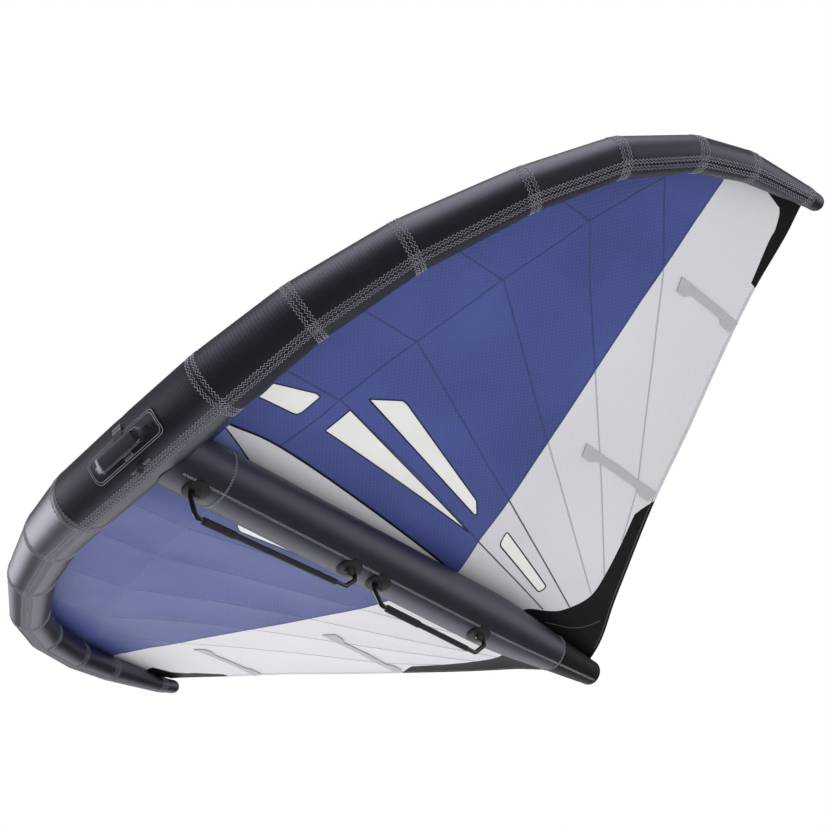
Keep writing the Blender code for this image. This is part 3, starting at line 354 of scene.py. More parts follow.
def ripstop(name, low, high, yarn, gloss=0.3):
    # Light nylon ripstop: thin cloth with a heavier yarn each way that makes small squares.
    # The real squares are 5 mm; they are drawn 12 mm wide, so that they show.
    mat, tree, place = plain(name, "Object", Roughness=0.5, Sheen_Weight=0.12, Sheen_Roughness=0.4,
                             Specular_IOR_Level=gloss)
    slanted = add(tree, "ShaderNodeMapping", {"Rotation": (0, 0, radians(40))}, {"Vector": place})
    grid = []
    for way in "XY":
        wave = add(tree, "ShaderNodeTexWave", {"bands_direction": way, "Scale": METRE_BANDS / 0.012,
                                               "Distortion": 0.0}, {"Vector": slanted})
        grid.append(add(tree, "ShaderNodeMath", {"operation": "POWER", 1: 3.0}, {0: wave.outputs["Fac"]}))
    yarns = add(tree, "ShaderNodeMath", {"operation": "MAXIMUM"}, {0: grid[0], 1: grid[1]})
    cloud, creases = [add(tree, "ShaderNodeTexNoise", {"Scale": scale, "Detail": detail},
                          {"Vector": place}).outputs["Fac"] for scale, detail in ((2.2, 5.0), (14.0, 3.0))]
    height = add(tree, "ShaderNodeMath", {"operation": "MULTIPLY_ADD", 1: 3.0}, {0: creases, 2: yarns})
    dress(mat, cloud, low, high, height, 0.0004, 0.5, start=0.3)
    share = add(tree, "ShaderNodeMath", {"operation": "MULTIPLY", 1: 0.35}, {0: yarns})
    base = tree.nodes["Principled BSDF"].inputs["Base Color"]
    mix = add(tree, "ShaderNodeMix", {"data_type": "RGBA", "factor_mode": "UNIFORM", 7: colour(yarn)},
              {0: share, 6: base.links[0].from_socket})
    tree.links.new(mix.outputs[2], base)
    return mat


def grained(name, low, high, scale, depth, rough, **sockets):
    # Surfaces whose fine grain comes from the mould, the foam or the cloth they are made of
    mat, tree, place = plain(name, "Object", Roughness=rough, **sockets)
    fine, broad = [add(tree, "ShaderNodeTexNoise", {"Scale": scale / wider, "Detail": detail},
                       {"Vector": place}).outputs["Fac"] for wider, detail in ((1, 3.0), (12, 2.0))]
    both = add(tree, "ShaderNodeMath", {"operation": "MULTIPLY_ADD", 1: 0.4}, {0: fine, 2: broad})
    return dress(mat, both, low, high, fine, depth, 0.7)


def webbing(name, low, high, pitch):
    # Nylon webbing: ribs across the tape
    mat, tree, uv = plain(name, "UV", Roughness=0.7, Sheen_Weight=0.2)
    ribs = add(tree, "ShaderNodeTexWave", {"bands_direction": "Y", "Scale": METRE_BANDS / pitch,
                                           "Distortion": 0.3}, {"Vector": uv}).outputs["Fac"]
    return dress(mat, ribs, low, high, ribs, 0.0004, 0.8)


def window_film():
    # Clear plastic film sewn into the canopy, polished, with a faint milky haze
    mat, tree, place = plain("clear_window_film", "Object", Base_Color=colour("#ebebe8"), Roughness=0.12,
                             Alpha=0.60, IOR=1.45)
    haze = add(tree, "ShaderNodeTexNoise", {"Scale": 6.0, "Detail": 3.0}, {"Vector": place}).outputs["Fac"]
    return dress(mat, haze, "#e6e6e3", "#f0f0ed", haze, 0.002, 0.3)


MATS = {
    "tube": tube_cloth("woven_polyester_tube_cloth", "#0d0d11", "#17171d", 0.47),
    "strut": tube_cloth("woven_polyester_strut_cloth", "#15161a", "#202127", 0.5),
    "blue": ripstop("ripstop_nylon_blue", "#354280", "#445298", "#5360a4", 0.35),
    # The corner panel is blue ripstop painted far lighter than the rest: painted light, standing in for light
    # on a panel that lies in the shade of the tubes
    "corner": ripstop("ripstop_nylon_blue_painted_light", "#7381be", "#7d8ac6", "#8e9ad0"),
    "pale": ripstop("ripstop_nylon_pale", "#d0cfd5", "#d6d5da", "#dfdee3"),
    # The wedge is pale ripstop painted lighter than the rest of the pale cloth: painted light against the
    # shade that the strut casts on it
    "wedge": ripstop("ripstop_nylon_wedge_painted_light", "#dfdfe4", "#e6e6ea", "#ededf0"),
    "film": window_film(),
    "webbing": webbing("nylon_webbing", "#141417", "#2a2a2f", 0.003),
}
# Key, name, its two colours, scale and depth of its grain, roughness, other sockets
GRAINED = (
    # Black reinforcing cloth: dense polyester laminate, matt
    ("patch", "black_reinforcing_cloth", "#101013", "#18181b", 700, .0002, .6, {"Specular_IOR_Level": .25}),
    # Batten pockets: grey cloth that lets less light through than the canopy
    ("pocket", "grey_pocket_cloth", "#abaab0", "#b4b3b9", 500, .0002, .55, {}),
    # Seam tape: thin adhesive cloth strip over a sewn seam
    ("seam_navy", "navy_seam_tape", "#141b3c", "#1c2448", 600, .0002, .5, {}),
    ("seam_blue", "dark_blue_seam_tape", "#2d3763", "#38437a", 600, .0002, .5, {}),
    # Paler blue tape for the far half's seams: painted light, for the sheen on the far half
    ("seam_soft", "blue_seam_tape", "#454f80", "#505b90", 600, .0002, .5, {}),
    ("seam_grey", "grey_seam_tape", "#a2a2a8", "#aeaeb4", 600, .0002, .5, {}),
    ("seam_dark", "dark_grey_seam_tape", "#4c4c52", "#5a5a60", 600, .0002, .5, {}),
    ("edge", "black_edge_tape", "#0f0f12", "#18181b", 600, .0002, .55, {}),
    ("hem", "pale_hem_tape", "#b9b8be", "#c6c5ca", 600, .0002, .5, {}),
    # Polyester sewing thread, light grey
    ("thread", "grey_polyester_thread", "#868690", "#9e9ea8", 900, .0001, .6, {}),
    # Aluminium tube under satin black paint
    ("bar", "satin_black_painted_aluminium", "#0d0d0f", "#16161a", 300, .0001, .3,
     {"Coat_Weight": .4, "Coat_Roughness": .2}),
    # Closed-cell foam sleeves: matt, pin-prick pores
    ("grip", "closed_cell_foam_grip", "#18181b", "#242428", 800, .0005, .85, {}),
    # Moulded rubber: matt with a warm grey cast
    ("rubber", "moulded_rubber", "#1c1b1b", "#272626", 400, .0003, .6, {}),
    # Injection-moulded nylon: fine spark-eroded texture
    ("plastic", "moulded_black_nylon", "#17171a", "#202024", 500, .0002, .42, {}),
    # Polyurethane hose: smooth, half clear, grey-white
    ("hose", "polyurethane_hose", "#b9bcc2", "#c9ccd1", 60, .0002, .3, {"Coat_Weight": .3}),
    # Stainless steel rivet, turned
    ("steel", "stainless_steel_rivet", "#a9abb0", "#c4c6ca", 500, .0001, .3, {"Metallic": 1.0}),
)
MATS.update({key: grained(*look, **sockets) for key, *look, sockets in GRAINED})


# Meshes

def skin(bm, rows, close_rows=False, tips=(None, None), caps=(False, False)):
    # Rows of points joined round and along; the map is in metres, across and along
    uv = bm.loops.layers.uv.verify()
    count = len(rows[0])
    loops = [[bm.verts.new(p) for p in row] for row in rows]
    middle = rows[len(rows) // 2]
    girth = sum((middle[k] - middle[k - 1]).length for k in range(count))
    along = [0.0]
    for a, b in zip(rows, rows[1:]):
        along.append(along[-1] + (a[0] - b[0]).length)

    def face(corners, places):
        for loop, (i, w) in zip(bm.faces.new(corners).loops, places):
            loop[uv].uv = (girth * i / count, w)

    for a in range(len(rows) - (not close_rows)):
        b = (a + 1) % len(rows)
        for k in range(count):
            n = (k + 1) % count
            face((loops[a][k], loops[a][n], loops[b][n], loops[b][k]),
                 ((k, along[a]), (k + 1, along[a]), (k + 1, along[b]), (k, along[b])))
    for which, (tip, cap) in enumerate(zip(tips, caps)):
        ring, w = loops[-which], along[-which]
        if cap:
            bm.faces.new(ring)
        if tip is not None:
            point = bm.verts.new(tip)
            for k in range(count):
                face((ring[k], ring[(k + 1) % count], point), ((k, w), (k + 1, w), (k, w + 0.01)))
    return loops


def sleeve(rows):
    # A closed wall: its rows run along the outside and back along the inside
    bm = bmesh.new()
    skin(bm, rows, close_rows=True)
    return bm


def bridge(bm, a, b):
    for k in range(len(a)):
        bm.faces.new((a[k], a[(k + 1) % len(a)], b[(k + 1) % len(b)], b[k]))


def placed(name, data):
    ob = bpy.data.objects.new(name, data)
    bpy.context.scene.collection.objects.link(ob)
    return ob


def piece(name, shape, mat, replaces=(), body="wing", sharp=35):
    # A finished piece from a mesh, or from a bmesh that is still in the wing's own axes
    mesh = shape
    if isinstance(shape, bmesh.types.BMesh):
        bmesh.ops.recalc_face_normals(shape, faces=shape.faces[:])
        bmesh.ops.translate(shape, verts=shape.verts[:], vec=SHIFT)
        mesh = bpy.data.meshes.new(name)
        shape.to_mesh(mesh)
        shape.free()
        mesh.materials.append(MATS[mat])
    mesh.name = name
    mesh.shade_smooth()
    mesh.set_sharp_from_angle(angle=radians(sharp))
    ob = placed(name, mesh)
    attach(ob, body)
    if replaces:
        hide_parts(*replaces)
    return ob


def circle(centre, u, v, radius, sides):
    return [centre + u * (radius * cos(a)) + v * (radius * sin(a)) for a in angles_round(sides)]


# Geometry Nodes: a sewn zigzag and a round cord, each along guide lines

def new_group(name, sizes):
    tree = bpy.data.node_groups.new(name, "GeometryNodeTree")
    tree.interface.new_socket("Guide", in_out="INPUT", socket_type="NodeSocketGeometry")
    for label, value in sizes.items():
        kind = "NodeSocketInt" if isinstance(value, int) else "NodeSocketFloat"
        tree.interface.new_socket(label, in_out="INPUT", socket_type=kind).default_value = value
    tree.interface.new_socket("Material", in_out="INPUT", socket_type="NodeSocketMaterial")
    tree.interface.new_socket("Cord", in_out="OUTPUT", socket_type="NodeSocketGeometry")
    given = add(tree, "NodeGroupInput").outputs
    return tree, given, add(tree, "GeometryNodeMeshToCurve", links={"Mesh": given["Guide"]})


def close_group(tree, given, curve, radius):
    profile = add(tree, "GeometryNodeCurvePrimitiveCircle",
                  links={"Radius": radius, "Resolution": given["Sides"]})
    solid = add(tree, "GeometryNodeCurveToMesh", {"Fill Caps": True},
                {"Curve": curve, "Profile Curve": profile})
    real = add(tree, "GeometryNodeRealizeInstances", links={"Geometry": solid})
    dressed = add(tree, "GeometryNodeSetMaterial", links={"Geometry": real, "Material": given["Material"]})
    add(tree, "NodeGroupOutput", links={"Cord": dressed})
    return tree


def zigzag_group():
    # Two threads that swing from side to side together, as a twin-needle zigzag stitch does.
    # Real stitches are 5 mm long; along the leading edge they are drawn 13 mm long, so that they show.
    tree, given, line = new_group("twin_zigzag_stitch", {
        "Stitch length": 0.013, "Swing": 0.0065, "Needle gap": 0.0085, "Thread": 0.0009, "Sides": 4})
    half = add(tree, "ShaderNodeMath", {"operation": "MULTIPLY", 1: 0.5}, {0: given["Stitch length"]})
    even = add(tree, "GeometryNodeResampleCurve", {"mode": "LENGTH"}, {"Curve": line, "Length": half})
    index = add(tree, "GeometryNodeInputIndex")
    odd = add(tree, "ShaderNodeMath", {"operation": "MODULO", 1: 2.0}, {0: index})
    middle = add(tree, "ShaderNodeMath", {"operation": "SUBTRACT", 1: 0.5}, {0: odd})
    swing = add(tree, "ShaderNodeMath", {"operation": "MULTIPLY"}, {0: middle, 1: given["Swing"]})
    side = add(tree, "GeometryNodeInputNamedAttribute", {"data_type": "FLOAT_VECTOR", "Name": "side"})
    threads = add(tree, "GeometryNodeJoinGeometry")
    for way in (-0.5, 0.5):
        reach = add(tree, "ShaderNodeMath", {"operation": "MULTIPLY_ADD", 1: way},
                    {0: given["Needle gap"], 2: swing})
        off = add(tree, "ShaderNodeVectorMath", {"operation": "SCALE"},
                  {0: side.outputs["Attribute"], "Scale": reach})
        moved = add(tree, "GeometryNodeSetPosition", links={"Geometry": even, "Offset": off})
        tree.links.new(moved.outputs["Geometry"], threads.inputs[0])
    return close_group(tree, given, threads, given["Thread"])


def cord_group():
    # A round cord or welt that follows its guide lines
    tree, given, line = new_group("round_cord", {"Radius": 0.002, "Sides": 8})
    return close_group(tree, given, line, given["Radius"])


GROUPS = {"zigzag": zigzag_group(), "cord": cord_group()}


def guide(path, place, lift, closed=False):
    # Points of a line on a surface, each with the surface's sideways direction there
    points, sides = [], []
    line = path[-1:] + path + path[:1] if closed else path[:1] + path + path[-1:]
    for before, at, after in zip(line, line[1:], line[2:]):
        p = place(*at, lift)
        out = (place(*at, lift + 0.001) - p).normalized()
        run = (place(*after, lift) - place(*before, lift)).normalized()
        points.append(p)
        sides.append(out.cross(run).normalized())
    return (points + points[:1], sides + sides[:1]) if closed else (points, sides)


def along_guides(name, guides, group, sizes, mat="thread", body="wing"):
    verts, sides, edges = [], [], []
    for points, ways in guides:
        first = len(verts)
        verts += [p + SHIFT for p in points]
        sides += ways
        edges += [(first + k, first + k + 1) for k in range(len(points) - 1)]
    mesh = bpy.data.meshes.new(name)
    mesh.from_pydata(verts, edges, [])
    layer = mesh.attributes.new("side", "FLOAT_VECTOR", "POINT")
    layer.data.foreach_set("vector", [c for s in sides for c in s])
    ob = placed(name, mesh)
    mod = ob.modifiers.new(group, "NODES")
    mod.node_group = GROUPS[group]
    given = {**sizes, "Material": MATS[mat]}
    for item in mod.node_group.interface.items_tree:
        if item.in_out == "INPUT" and item.name in given:
            mod[item.identifier] = given[item.name]
    solid = bpy.data.meshes.new_from_object(ob.evaluated_get(bpy.context.evaluated_depsgraph_get()))
    bpy.data.objects.remove(ob, do_unlink=True)
    bpy.data.meshes.remove(mesh)
    piece(name, solid, None, body=body, sharp=60)


# Flat outlines made into sheets that follow a surface

def inside(p, poly):
    x, y = p[:, 0], p[:, 1]
    hit = np.zeros(len(p), bool)
    for a, b in zip(poly, poly[1:] + poly[:1]):
        if a[1] != b[1]:
            cross = (a[1] > y) != (b[1] > y)
            hit ^= cross & (x < (b[0] - a[0]) * (y - a[1]) / (b[1] - a[1]) + a[0])
    return hit


def split(poly, step, closed=True):
    # Points along a line or an outline, about one step apart
    result = []
    for a, b in zip(poly, poly[1:] + poly[:1] if closed else poly[1:]):
        parts = max(1, round((Vector(b) - Vector(a)).length / step))
        result += [tuple(Vector(a).lerp(Vector(b), k / parts)) for k in range(parts)]
    return result if closed else result + [tuple(poly[-1])]


def soften(poly, radius, steps=4):
    # Round each corner of an outline
    result = []
    for k, b in enumerate(poly):
        a, b, c = Vector(poly[k - 1]), Vector(b), Vector(poly[(k + 1) % len(poly)])
        u, v = a - b, c - b
        cut = min(radius, 0.4 * u.length, 0.4 * v.length)
        p, q = b + u.normalized() * cut, b + v.normalized() * cut
        for n in range(steps + 1):
            t = n / steps
            result.append(tuple(p * (1 - t) ** 2 + b * (2 * t * (1 - t)) + q * t * t))
    return result


def sheet_mesh(outline, holes, places, low, high, step, creases):
    # A thin sheet: an even grid inside its outline, with mesh edges along its holes and creases
    loops = [split(line, step) for line in (outline, *holes)]
    rim = loops[0] + loops[0][:1]

    def in_sheet(p):
        keep = inside(p, loops[0])
        for hole in loops[1:]:
            keep &= ~inside(p, hole)
        return keep

    first, last = np.min(rim, 0) // step, np.max(rim, 0) // step + 2
    grid = np.array([((i + (j % 2) / 2) * step, j * step) for j in range(int(first[1]), int(last[1]))
                     for i in range(int(first[0]), int(last[0]))])
    free = in_sheet(grid)
    for line in [loop + loop[:1] for loop in loops] + creases:
        free &= line_distance(*grid.T, line) > step * 0.45
    points, edges = [], []
    for loop in loops:
        edges += [(len(points) + k, len(points) + (k + 1) % len(loop)) for k in range(len(loop))]
        points += loop
    for line in creases:
        path = np.array(split(line, step, False))
        path = path[inside(path, loops[0]) & (line_distance(*path.T, rim) > step * 0.3)]
        edges += [(len(points) + k, len(points) + k + 1) for k in range(len(path) - 1)]
        points += list(path)
    points = [Vector(p) for p in points + list(grid[free])]
    verts, _, faces = delaunay_2d_cdt(points, edges, [], 0, 1e-6)[:3]
    mids = np.array([sum((verts[k] for k in f), Vector((0, 0))) / len(f) for f in faces])
    faces = [f for f, keep in zip(faces, in_sheet(mids)) if keep]
    x, y = np.array([v[:] for v in verts]).T
    bm = bmesh.new()
    below, above = [[bm.verts.new(p) for p in places(x, y, lift)] for lift in (low, high)]
    for f in faces:
        bm.faces.new([above[k] for k in f])
        bm.faces.new([below[k] for k in f][::-1])
    ways = {(f[k], f[(k + 1) % len(f)]) for f in faces for k in range(len(f))}
    for a, b in ways:
        if (b, a) not in ways:
            bm.faces.new((below[a], below[b], above[b], above[a]))
    uv = bm.loops.layers.uv.verify()
    flat = {v: (x[k], y[k]) for layer in (below, above) for k, v in enumerate(layer)}
    for face in bm.faces:
        for loop in face.loops:
            loop[uv].uv = flat[loop.vert]
    for v in [v for v in bm.verts if not v.link_faces]:
        bm.verts.remove(v)
    return bm, sum(f.calc_area() for f in bm.faces) / 2


def flat_size(outline):
    # Sides of the smallest rectangle round an outline
    sizes = []
    for k in range(60):
        a = pi * k / 120
        q = np.array(outline) @ np.array(((cos(a), -sin(a)), (sin(a), cos(a))))
        sizes.append([float(length) for length in q.max(0) - q.min(0)])
    return min(sizes, key=lambda size: size[0] * size[1])


def cloth(name, outline, mat, replaces, holes=(), creases=(), places=canopy_places,
          lifts=(.0006, .0014), step=0.028):
    bm, area = sheet_mesh(outline, holes, places, *lifts, step, list(creases))
    ob = piece(name, bm, mat, replaces)
    w, l = flat_size(outline)
    grow = max(1.0, sqrt(area / (w * l)))
    min(area, w * l * grow * grow)


def one_by_one(place):
    return lambda x, y, lift: [place(float(a), float(b), lift) for a, b in zip(x, y)]


def ribbon(bm, path, width, low=0, high=.0020, step=0.03):
    # A flat strip along a line on the canopy
    line = [Vector(p) for p in split(path, step, closed=False)]
    left, right = [], []
    for p, e in steps_along(line):
        n = Vector((-e.y, e.x)) * (width / 2)
        left.append(p + n)
        right.append(p - n)
    sets = [canopy_places(*np.array([p[:] for p in edge]).T, lift)
            for edge, lift in ((left, low), (right, low), (right, high), (left, high))]
    skin(bm, [list(row) for row in zip(*sets)], caps=(True, True))


def mirror_path(path):
    return [(-x, y) for x, y in path]


def on_side(path, side):
    # An outline of the right half, or its mirror image that turns the same way
    return path if side > 0 else mirror_path(path)[::-1]


def both_halves(half):
    return half + [(-x, y) for x, y in half if x > 0][::-1]


# Leading edge

TUBE_SIDES = 96
ROUND = angles_round(TUBE_SIDES)
WALL = 0.002
SWELL = 0.0015
STRUT_SWELL = 0.0006


def swell(s, most=SWELL):
    # Air pressure lifts the cloth between two ring seams
    return most * (1 - (2 * s - 1) ** 8) - most / 3


def tube_rows(i, side, lift=None, rows=None):
    place = tube_place(i, side)
    rows = rows or max(8, round(segment_length(i) / 0.02))
    return [[place(n / rows, a, swell(n / rows) if lift is None else lift) for a in ROUND]
            for n in range(rows + 1)]


def leading_edge():
    for tag, side in SIDES:
        for i in range(1, LAST - 1):
            rows = tube_rows(i, side) + tube_rows(i, side, -WALL, 1)[::-1]
            piece("tube_panel_%s_%d" % (tag, i), sleeve(rows), "tube",
                  ["le_panel_%s_%d" % (tag, i)])
        piece("tube_tip_" + tag, tip_mesh(side), "tube", ["le_tip_cap_" + tag])
    outer = tube_rows(0, -1)[:0:-1] + tube_rows(0, 1)
    inner = tube_rows(0, -1, -WALL, 1)[:0:-1] + tube_rows(0, 1, -WALL, 1)
    piece("tube_panel_centre", sleeve(outer + inner[::-1]), "tube", ["le_panel_centre"])


def tip_mesh(side):
    # The last panel of the tube, with its domed end
    bm, ends = bmesh.new(), []
    for cut in (0, WALL):
        radius = RADII[LAST] - cut
        rows = tube_rows(LAST - 1, side, -cut, 3)
        for t in range(9, 84, 9):
            shift, squeeze = radius * sin(radians(t)), cos(radians(t))
            rows.append([mirrored(ring_point(LAST, a, radius, shift, squeeze), side) for a in ROUND])
        tip = mirrored(CENTRES[LAST] + AXES[LAST][0] * radius, side)
        ends.append(skin(bm, rows, tips=(None, tip))[0])
    bridge(bm, *ends)
    return bm


# Strut

STRUT_DOME = 0.020


def strut_front(a, radius):
    # The strut's cloth starts where it meets the leading edge
    x, z = radius * sin(a), radius * cos(a)
    tube = nose_place(x, 0, 0.0006)
    return Vector((x, sqrt(tube.y ** 2 - (z + AXIS_DROP) ** 2), z))


def strut_ring(y, radius):
    return [Vector((radius * sin(a), y, radius * cos(a))) for a in ROUND]


def sleeve_radius(y):
    near = [float(strut_radius(y + d)) for d in (-.02, 0, .02)]
    return min(STRUT, sum(near) / 3)


def strut():
    first, second = STRUT_SEAMS
    rows = []
    for cut, part in ((0, [k / 8 for k in range(9)]), (WALL, (1, 0))):
        for s in part:
            lift = swell(0.3 * s + 0.7, STRUT_SWELL) if not cut else -cut
            front = [strut_front(a, STRUT + lift) for a in ROUND]
            rows.append([a.lerp(b, s) for a, b in zip(front, strut_ring(first, STRUT + lift))])
    piece("strut_cloth_front", sleeve(rows), "strut", ["strut_sleeve_front"])
    ys = [first + (second - first) * k / 60 for k in range(61)]
    rows = [strut_ring(y, sleeve_radius(y) + swell((y - first) / (second - first), STRUT_SWELL)) for y in ys]
    rows += [strut_ring(y, sleeve_radius(y) - WALL) for y in ys[::-4]]
    piece("strut_cloth_main", sleeve(rows), "strut", ["strut_sleeve_main"])
    ys = [second + (CHORD - second) * k / 10 for k in range(11)]
    bm, ends = bmesh.new(), []
    for cut in (0, WALL):
        end, dome = float(strut_radius(CHORD)) - cut, STRUT_DOME - cut
        rows = [strut_ring(y, sleeve_radius(y) - cut) for y in ys]
        rows += [strut_ring(CHORD + dome * sin(radians(t)), end * cos(radians(t)))
                 for t in range(10, 90, 10)]
        ends.append(skin(bm, rows, tips=(None, Vector((0, CHORD + dome, 0))))[0])
    bridge(bm, *ends)
    piece("strut_end", bm, "patch", ["strut_end_cap"])


# Canopy

TAIL_OUTLINE = both_halves(TAIL_EDGE[::-1] + tail_line(PATCH_TAIL_X, 0))
FILM_OUTLINES = {key: soften(plan(shares), 0.014 if key in ("right_d", "left") else 0.005)
                 for key, shares in WINDOWS.items()}
CUT_INTO_BLUE = {"right": ("right_a", "right_b", "right_c"), "left": ("left",)}


def canopy():
    tip_y = TIP_EDGE[0][1]
    tip_start = [(interp(tip_y, FRONT_Y[1:], FRONT_X[1:]), tip_y)]
    blue = FRONT[:8] + COLOUR_EDGE[:0:-1] + WEDGE_EDGE[::-1]
    pale = COLOUR_EDGE + FRONT[7:8] + tip_start + TIP_EDGE + tail_line(TIP_TAIL_X, PATCH_TAIL_X) + TAIL_EDGE
    end = tip_start + FRONT[8:9] + tail_line(END_TAIL_X, TIP_TAIL_X, 12) + TIP_EDGE[::-1]
    for tag, side in SIDES:
        creases = [on_side(line, side) for line in SEAMS]
        holes = [on_side(FILM_OUTLINES[key], side) for key in CUT_INTO_BLUE[tag]]
        cloth("canopy_blue_" + tag, on_side(blue, side), "blue", ["canopy_front_" + tag],
              holes, creases)
        cloth("canopy_pale_" + tag, on_side(pale, side), "pale", ["canopy_rear_" + tag],
              [FILM_OUTLINES["right_d"]] if side > 0 else [], creases)
        cloth("canopy_tip_" + tag, on_side(end, side), "patch", ["tip_patch_" + tag])
    for key, outline in FILM_OUTLINES.items():
        cloth("film_" + key, on_side(outline, -1 if key == "left" else 1), "film",
              ["window_" + key], step=0.02)
    cloth("canopy_corner_panel", both_halves(WEDGE_EDGE[:1] + CORNER), "corner",
          ["canopy_wedge"], step=.02)
    cloth("canopy_wedge_panel", both_halves(CORNER[::-1] + WEDGE_EDGE[1:]), "wedge",
          ["canopy_wedge"])
    cloth("canopy_tail_panel", TAIL_OUTLINE, "patch", ["tail_patch"])


def sewn(bm, line, blue, way):
    # Tape over the parts of a seam that lie in the blue, or in the pale, cloth
    run = []
    for p in split(line, 0.006, closed=False) + [None]:
        front = p and p[1] < interp(p[0], *zip(*COLOUR_EDGE))
        if p and front == blue and (front or not inside(np.array([p]), TAIL_OUTLINE)[0]):
            run.append(p)
        else:
            if len(run) > 1:
                ribbon(bm, way(run), 0.005, .0001, .0019)
            run = []


def seams():
    # The seams of the far half take much paler tapes than the near half's, blue in place of dark blue and
    # grey in place of dark grey: painted light, for the sheen that falls on the far half
    names = ("seam_blue", "seam_soft", "seam_navy", "seam_grey", "seam_dark", "edge", "hem")
    bms = {name: bmesh.new() for name in names}
    tapes = (("seam_blue", COLOUR_EDGE, .004), ("edge", WEDGE_EDGE[1:], .008), ("edge", CORNER[:-1], .004),
             ("edge", tail_line(END_TAIL_X, TIP_TAIL_X, inset=.005), .008),
             ("seam_dark", tail_line(PATCH_TAIL_X, .07, inset=.012), .0025), ("seam_dark", TAIL_SEAM, .0025))
    for way, front, dark in ((list, "seam_blue", "seam_dark"), (mirror_path, "seam_soft", "seam_grey")):
        for line in SEAMS:
            sewn(bms[front], line, True, way)
            sewn(bms[dark if line in SEAMS[1:3] else "seam_grey"], line, False, way)
        for mat, line, width in tapes:
            ribbon(bms[mat], way(line), width)
        ribbon(bms["hem"], way(tail_line(TIP_TAIL_X, PATCH_TAIL_X, inset=.006)), 0.011, -.0003, .0024)
    for key, outline in FILM_OUTLINES.items():
        path = outline + outline[:1]
        ribbon(bms["edge" if key == "right_d" else "seam_navy"], mirror_path(path) if key == "left" else path,
               0.0045, step=0.012)
    for mat, bm in bms.items():
        piece("canopy_" + mat, bm, mat)


def batten_pockets():
    for name, (x, first, last) in zip(("inner", "outer"), BATTENS):
        for tag, side in SIDES:
            wide = [(.026, first + .012), (.026, first + .050), (.009, first + .074), (.009, last - .068),
                    (.022, last - .045), (.022, last + .004)]
            outline = [(x + .016, first - .010), (x + .016, last + .004)]
            outline += [(x - w, y) for w, y in wide[::-1]]
            cloth("pocket_%s_%s" % (name, tag), on_side(outline, side), "pocket",
                  ["batten_%s_%s" % (name, tag)], lifts=(-.0034, -.0001))


# Stitching

SEAM_BANDS = (-.0100, .0100)


def stitches():
    rings, rows = [], []
    for i in range(1, LAST):
        for side in (1, -1):
            for shift in SEAM_BANDS:
                n = i if shift > 0 else i - 1
                s = shift / segment_length(n) + (i - n)
                path = [(s, a) for a in angles_round(64)]
                rings.append(guide(path, tube_place(n, side), .0008, closed=True))
    along_guides("ring_seam_stitches", rings, "zigzag", {})
    for side in (1, -1):
        for shift in SEAM_BANDS:
            for i in range(1, LAST - 1):
                radii = [RADII[i] + (RADII[i + 1] - RADII[i]) * k / 8 for k in range(9)]
                path = [(k / 8, radians(182) + shift / r) for k, r in enumerate(radii)]
                rows.append(guide(path, tube_place(i, side), .0016))
    for shift in SEAM_BANDS:
        path = [(x, radians(92) * NOSE + shift) for x in np.linspace(-.299, .299, 25)]
        rows.append(guide(path, nose_place, .0016))
    along_guides("long_seam_stitches", rows, "zigzag", {})
    path = [(radians(20) * STRUT, y) for y in np.linspace(.10, 1.99, 66)]
    ring, end = [[(a * STRUT, y) for a in angles_round(64)] for y in STRUT_SEAMS]
    lines = [guide(path, strut_place, .0016), guide(ring, strut_place, .0012, True),
             guide(end, strut_place, .0010, True)]
    along_guides("strut_stitches", lines, "zigzag",
                 {"Stitch length": .010, "Swing": .004, "Needle gap": .004, "Thread": .0008})


# Bar handles

BAR = 0.0075
SWING_Z = -(STRUT + 0.015)
LEG_Y = ((.152, .797), (.882, 1.393))
CORNER_Y = ((.169, .750), (.904, 1.336))
CORNER_DROP = ((.194, .172), (.178, .180))
KNEE_DROP = 0.020
THICK_FROM = (.024, .021)
THICK_LONG = (.121, .145)
GRIP_SHORT_BY = 0.040
EYE = 0.024
EYE_HALF = 0.009
BORE = 0.0055
PIN_END = BAR + .0005 + EYE


def handle_corners(k):
    knee = SWING_Z - KNEE_DROP
    (fore, aft), (y0, y1), (drop0, drop1) = LEG_Y[k], CORNER_Y[k], CORNER_DROP[k]
    return [Vector((0, y, z)) for y, z in ((fore, SWING_Z), (fore, knee), (y0, -drop0), (y1, -drop1),
                                           (aft, knee), (aft, SWING_Z))]


def rounded(points, radius, steps):
    path = [points[0]]
    for a, b, c in zip(points, points[1:], points[2:]):
        u, v = (a - b).normalized(), (c - b).normalized()
        half = acos(max(-1, min(1, u.dot(v)))) / 2
        reach = radius * cos(half) / sin(half)
        centre = b + (u + v).normalized() * (radius / sin(half))
        start, stop = b + u * reach - centre, b + v * reach - centre
        angle = start.angle(stop)
        for k in range(steps + 1):
            s = k / steps
            path.append(centre + (start * sin((1 - s) * angle) + stop * sin(s * angle)) / sin(angle))
    return path + [points[-1]]


def section(centre, u, v, a, b, sides, power):
    points = []
    for turn in angles_round(sides):
        c, s = cos(turn), sin(turn)
        points.append(centre + u * (a * copysign(abs(c) ** power, c))
                      + v * (b * copysign(abs(s) ** power, s)))
    return points


def swept(path, up, sizes, sides, power=1.0):
    # Rings along a path, closed by a half round at each end
    items = []
    for (p, t), size in zip(steps_along(path), sizes):
        u = square_to(up, t)
        items.append((p, t, u, t.cross(u), *size))
    rows = [section(p, u, v, a, b, sides, power) for p, t, u, v, a, b in items]
    tips = []
    for (p, t, u, v, a, b), sign in ((items[0], -1), (items[-1], 1)):
        caps = [section(p + t * (sign * b * sin(turn)), u, v, a * cos(turn), b * cos(turn), sides, power)
                for turn in (pi / 8, pi / 4, 3 * pi / 8)]
        rows = caps[::-1] + rows if sign < 0 else rows + caps
        tips.append(p + t * (sign * b))
    bm = bmesh.new()
    skin(bm, rows, tips=tips)
    return bm


def pin_rings(y, way, profile):
    return [circle(Vector((0, y + way * w, SWING_Z)), X_AXIS, Z_AXIS, r, 24) for r, w in profile]


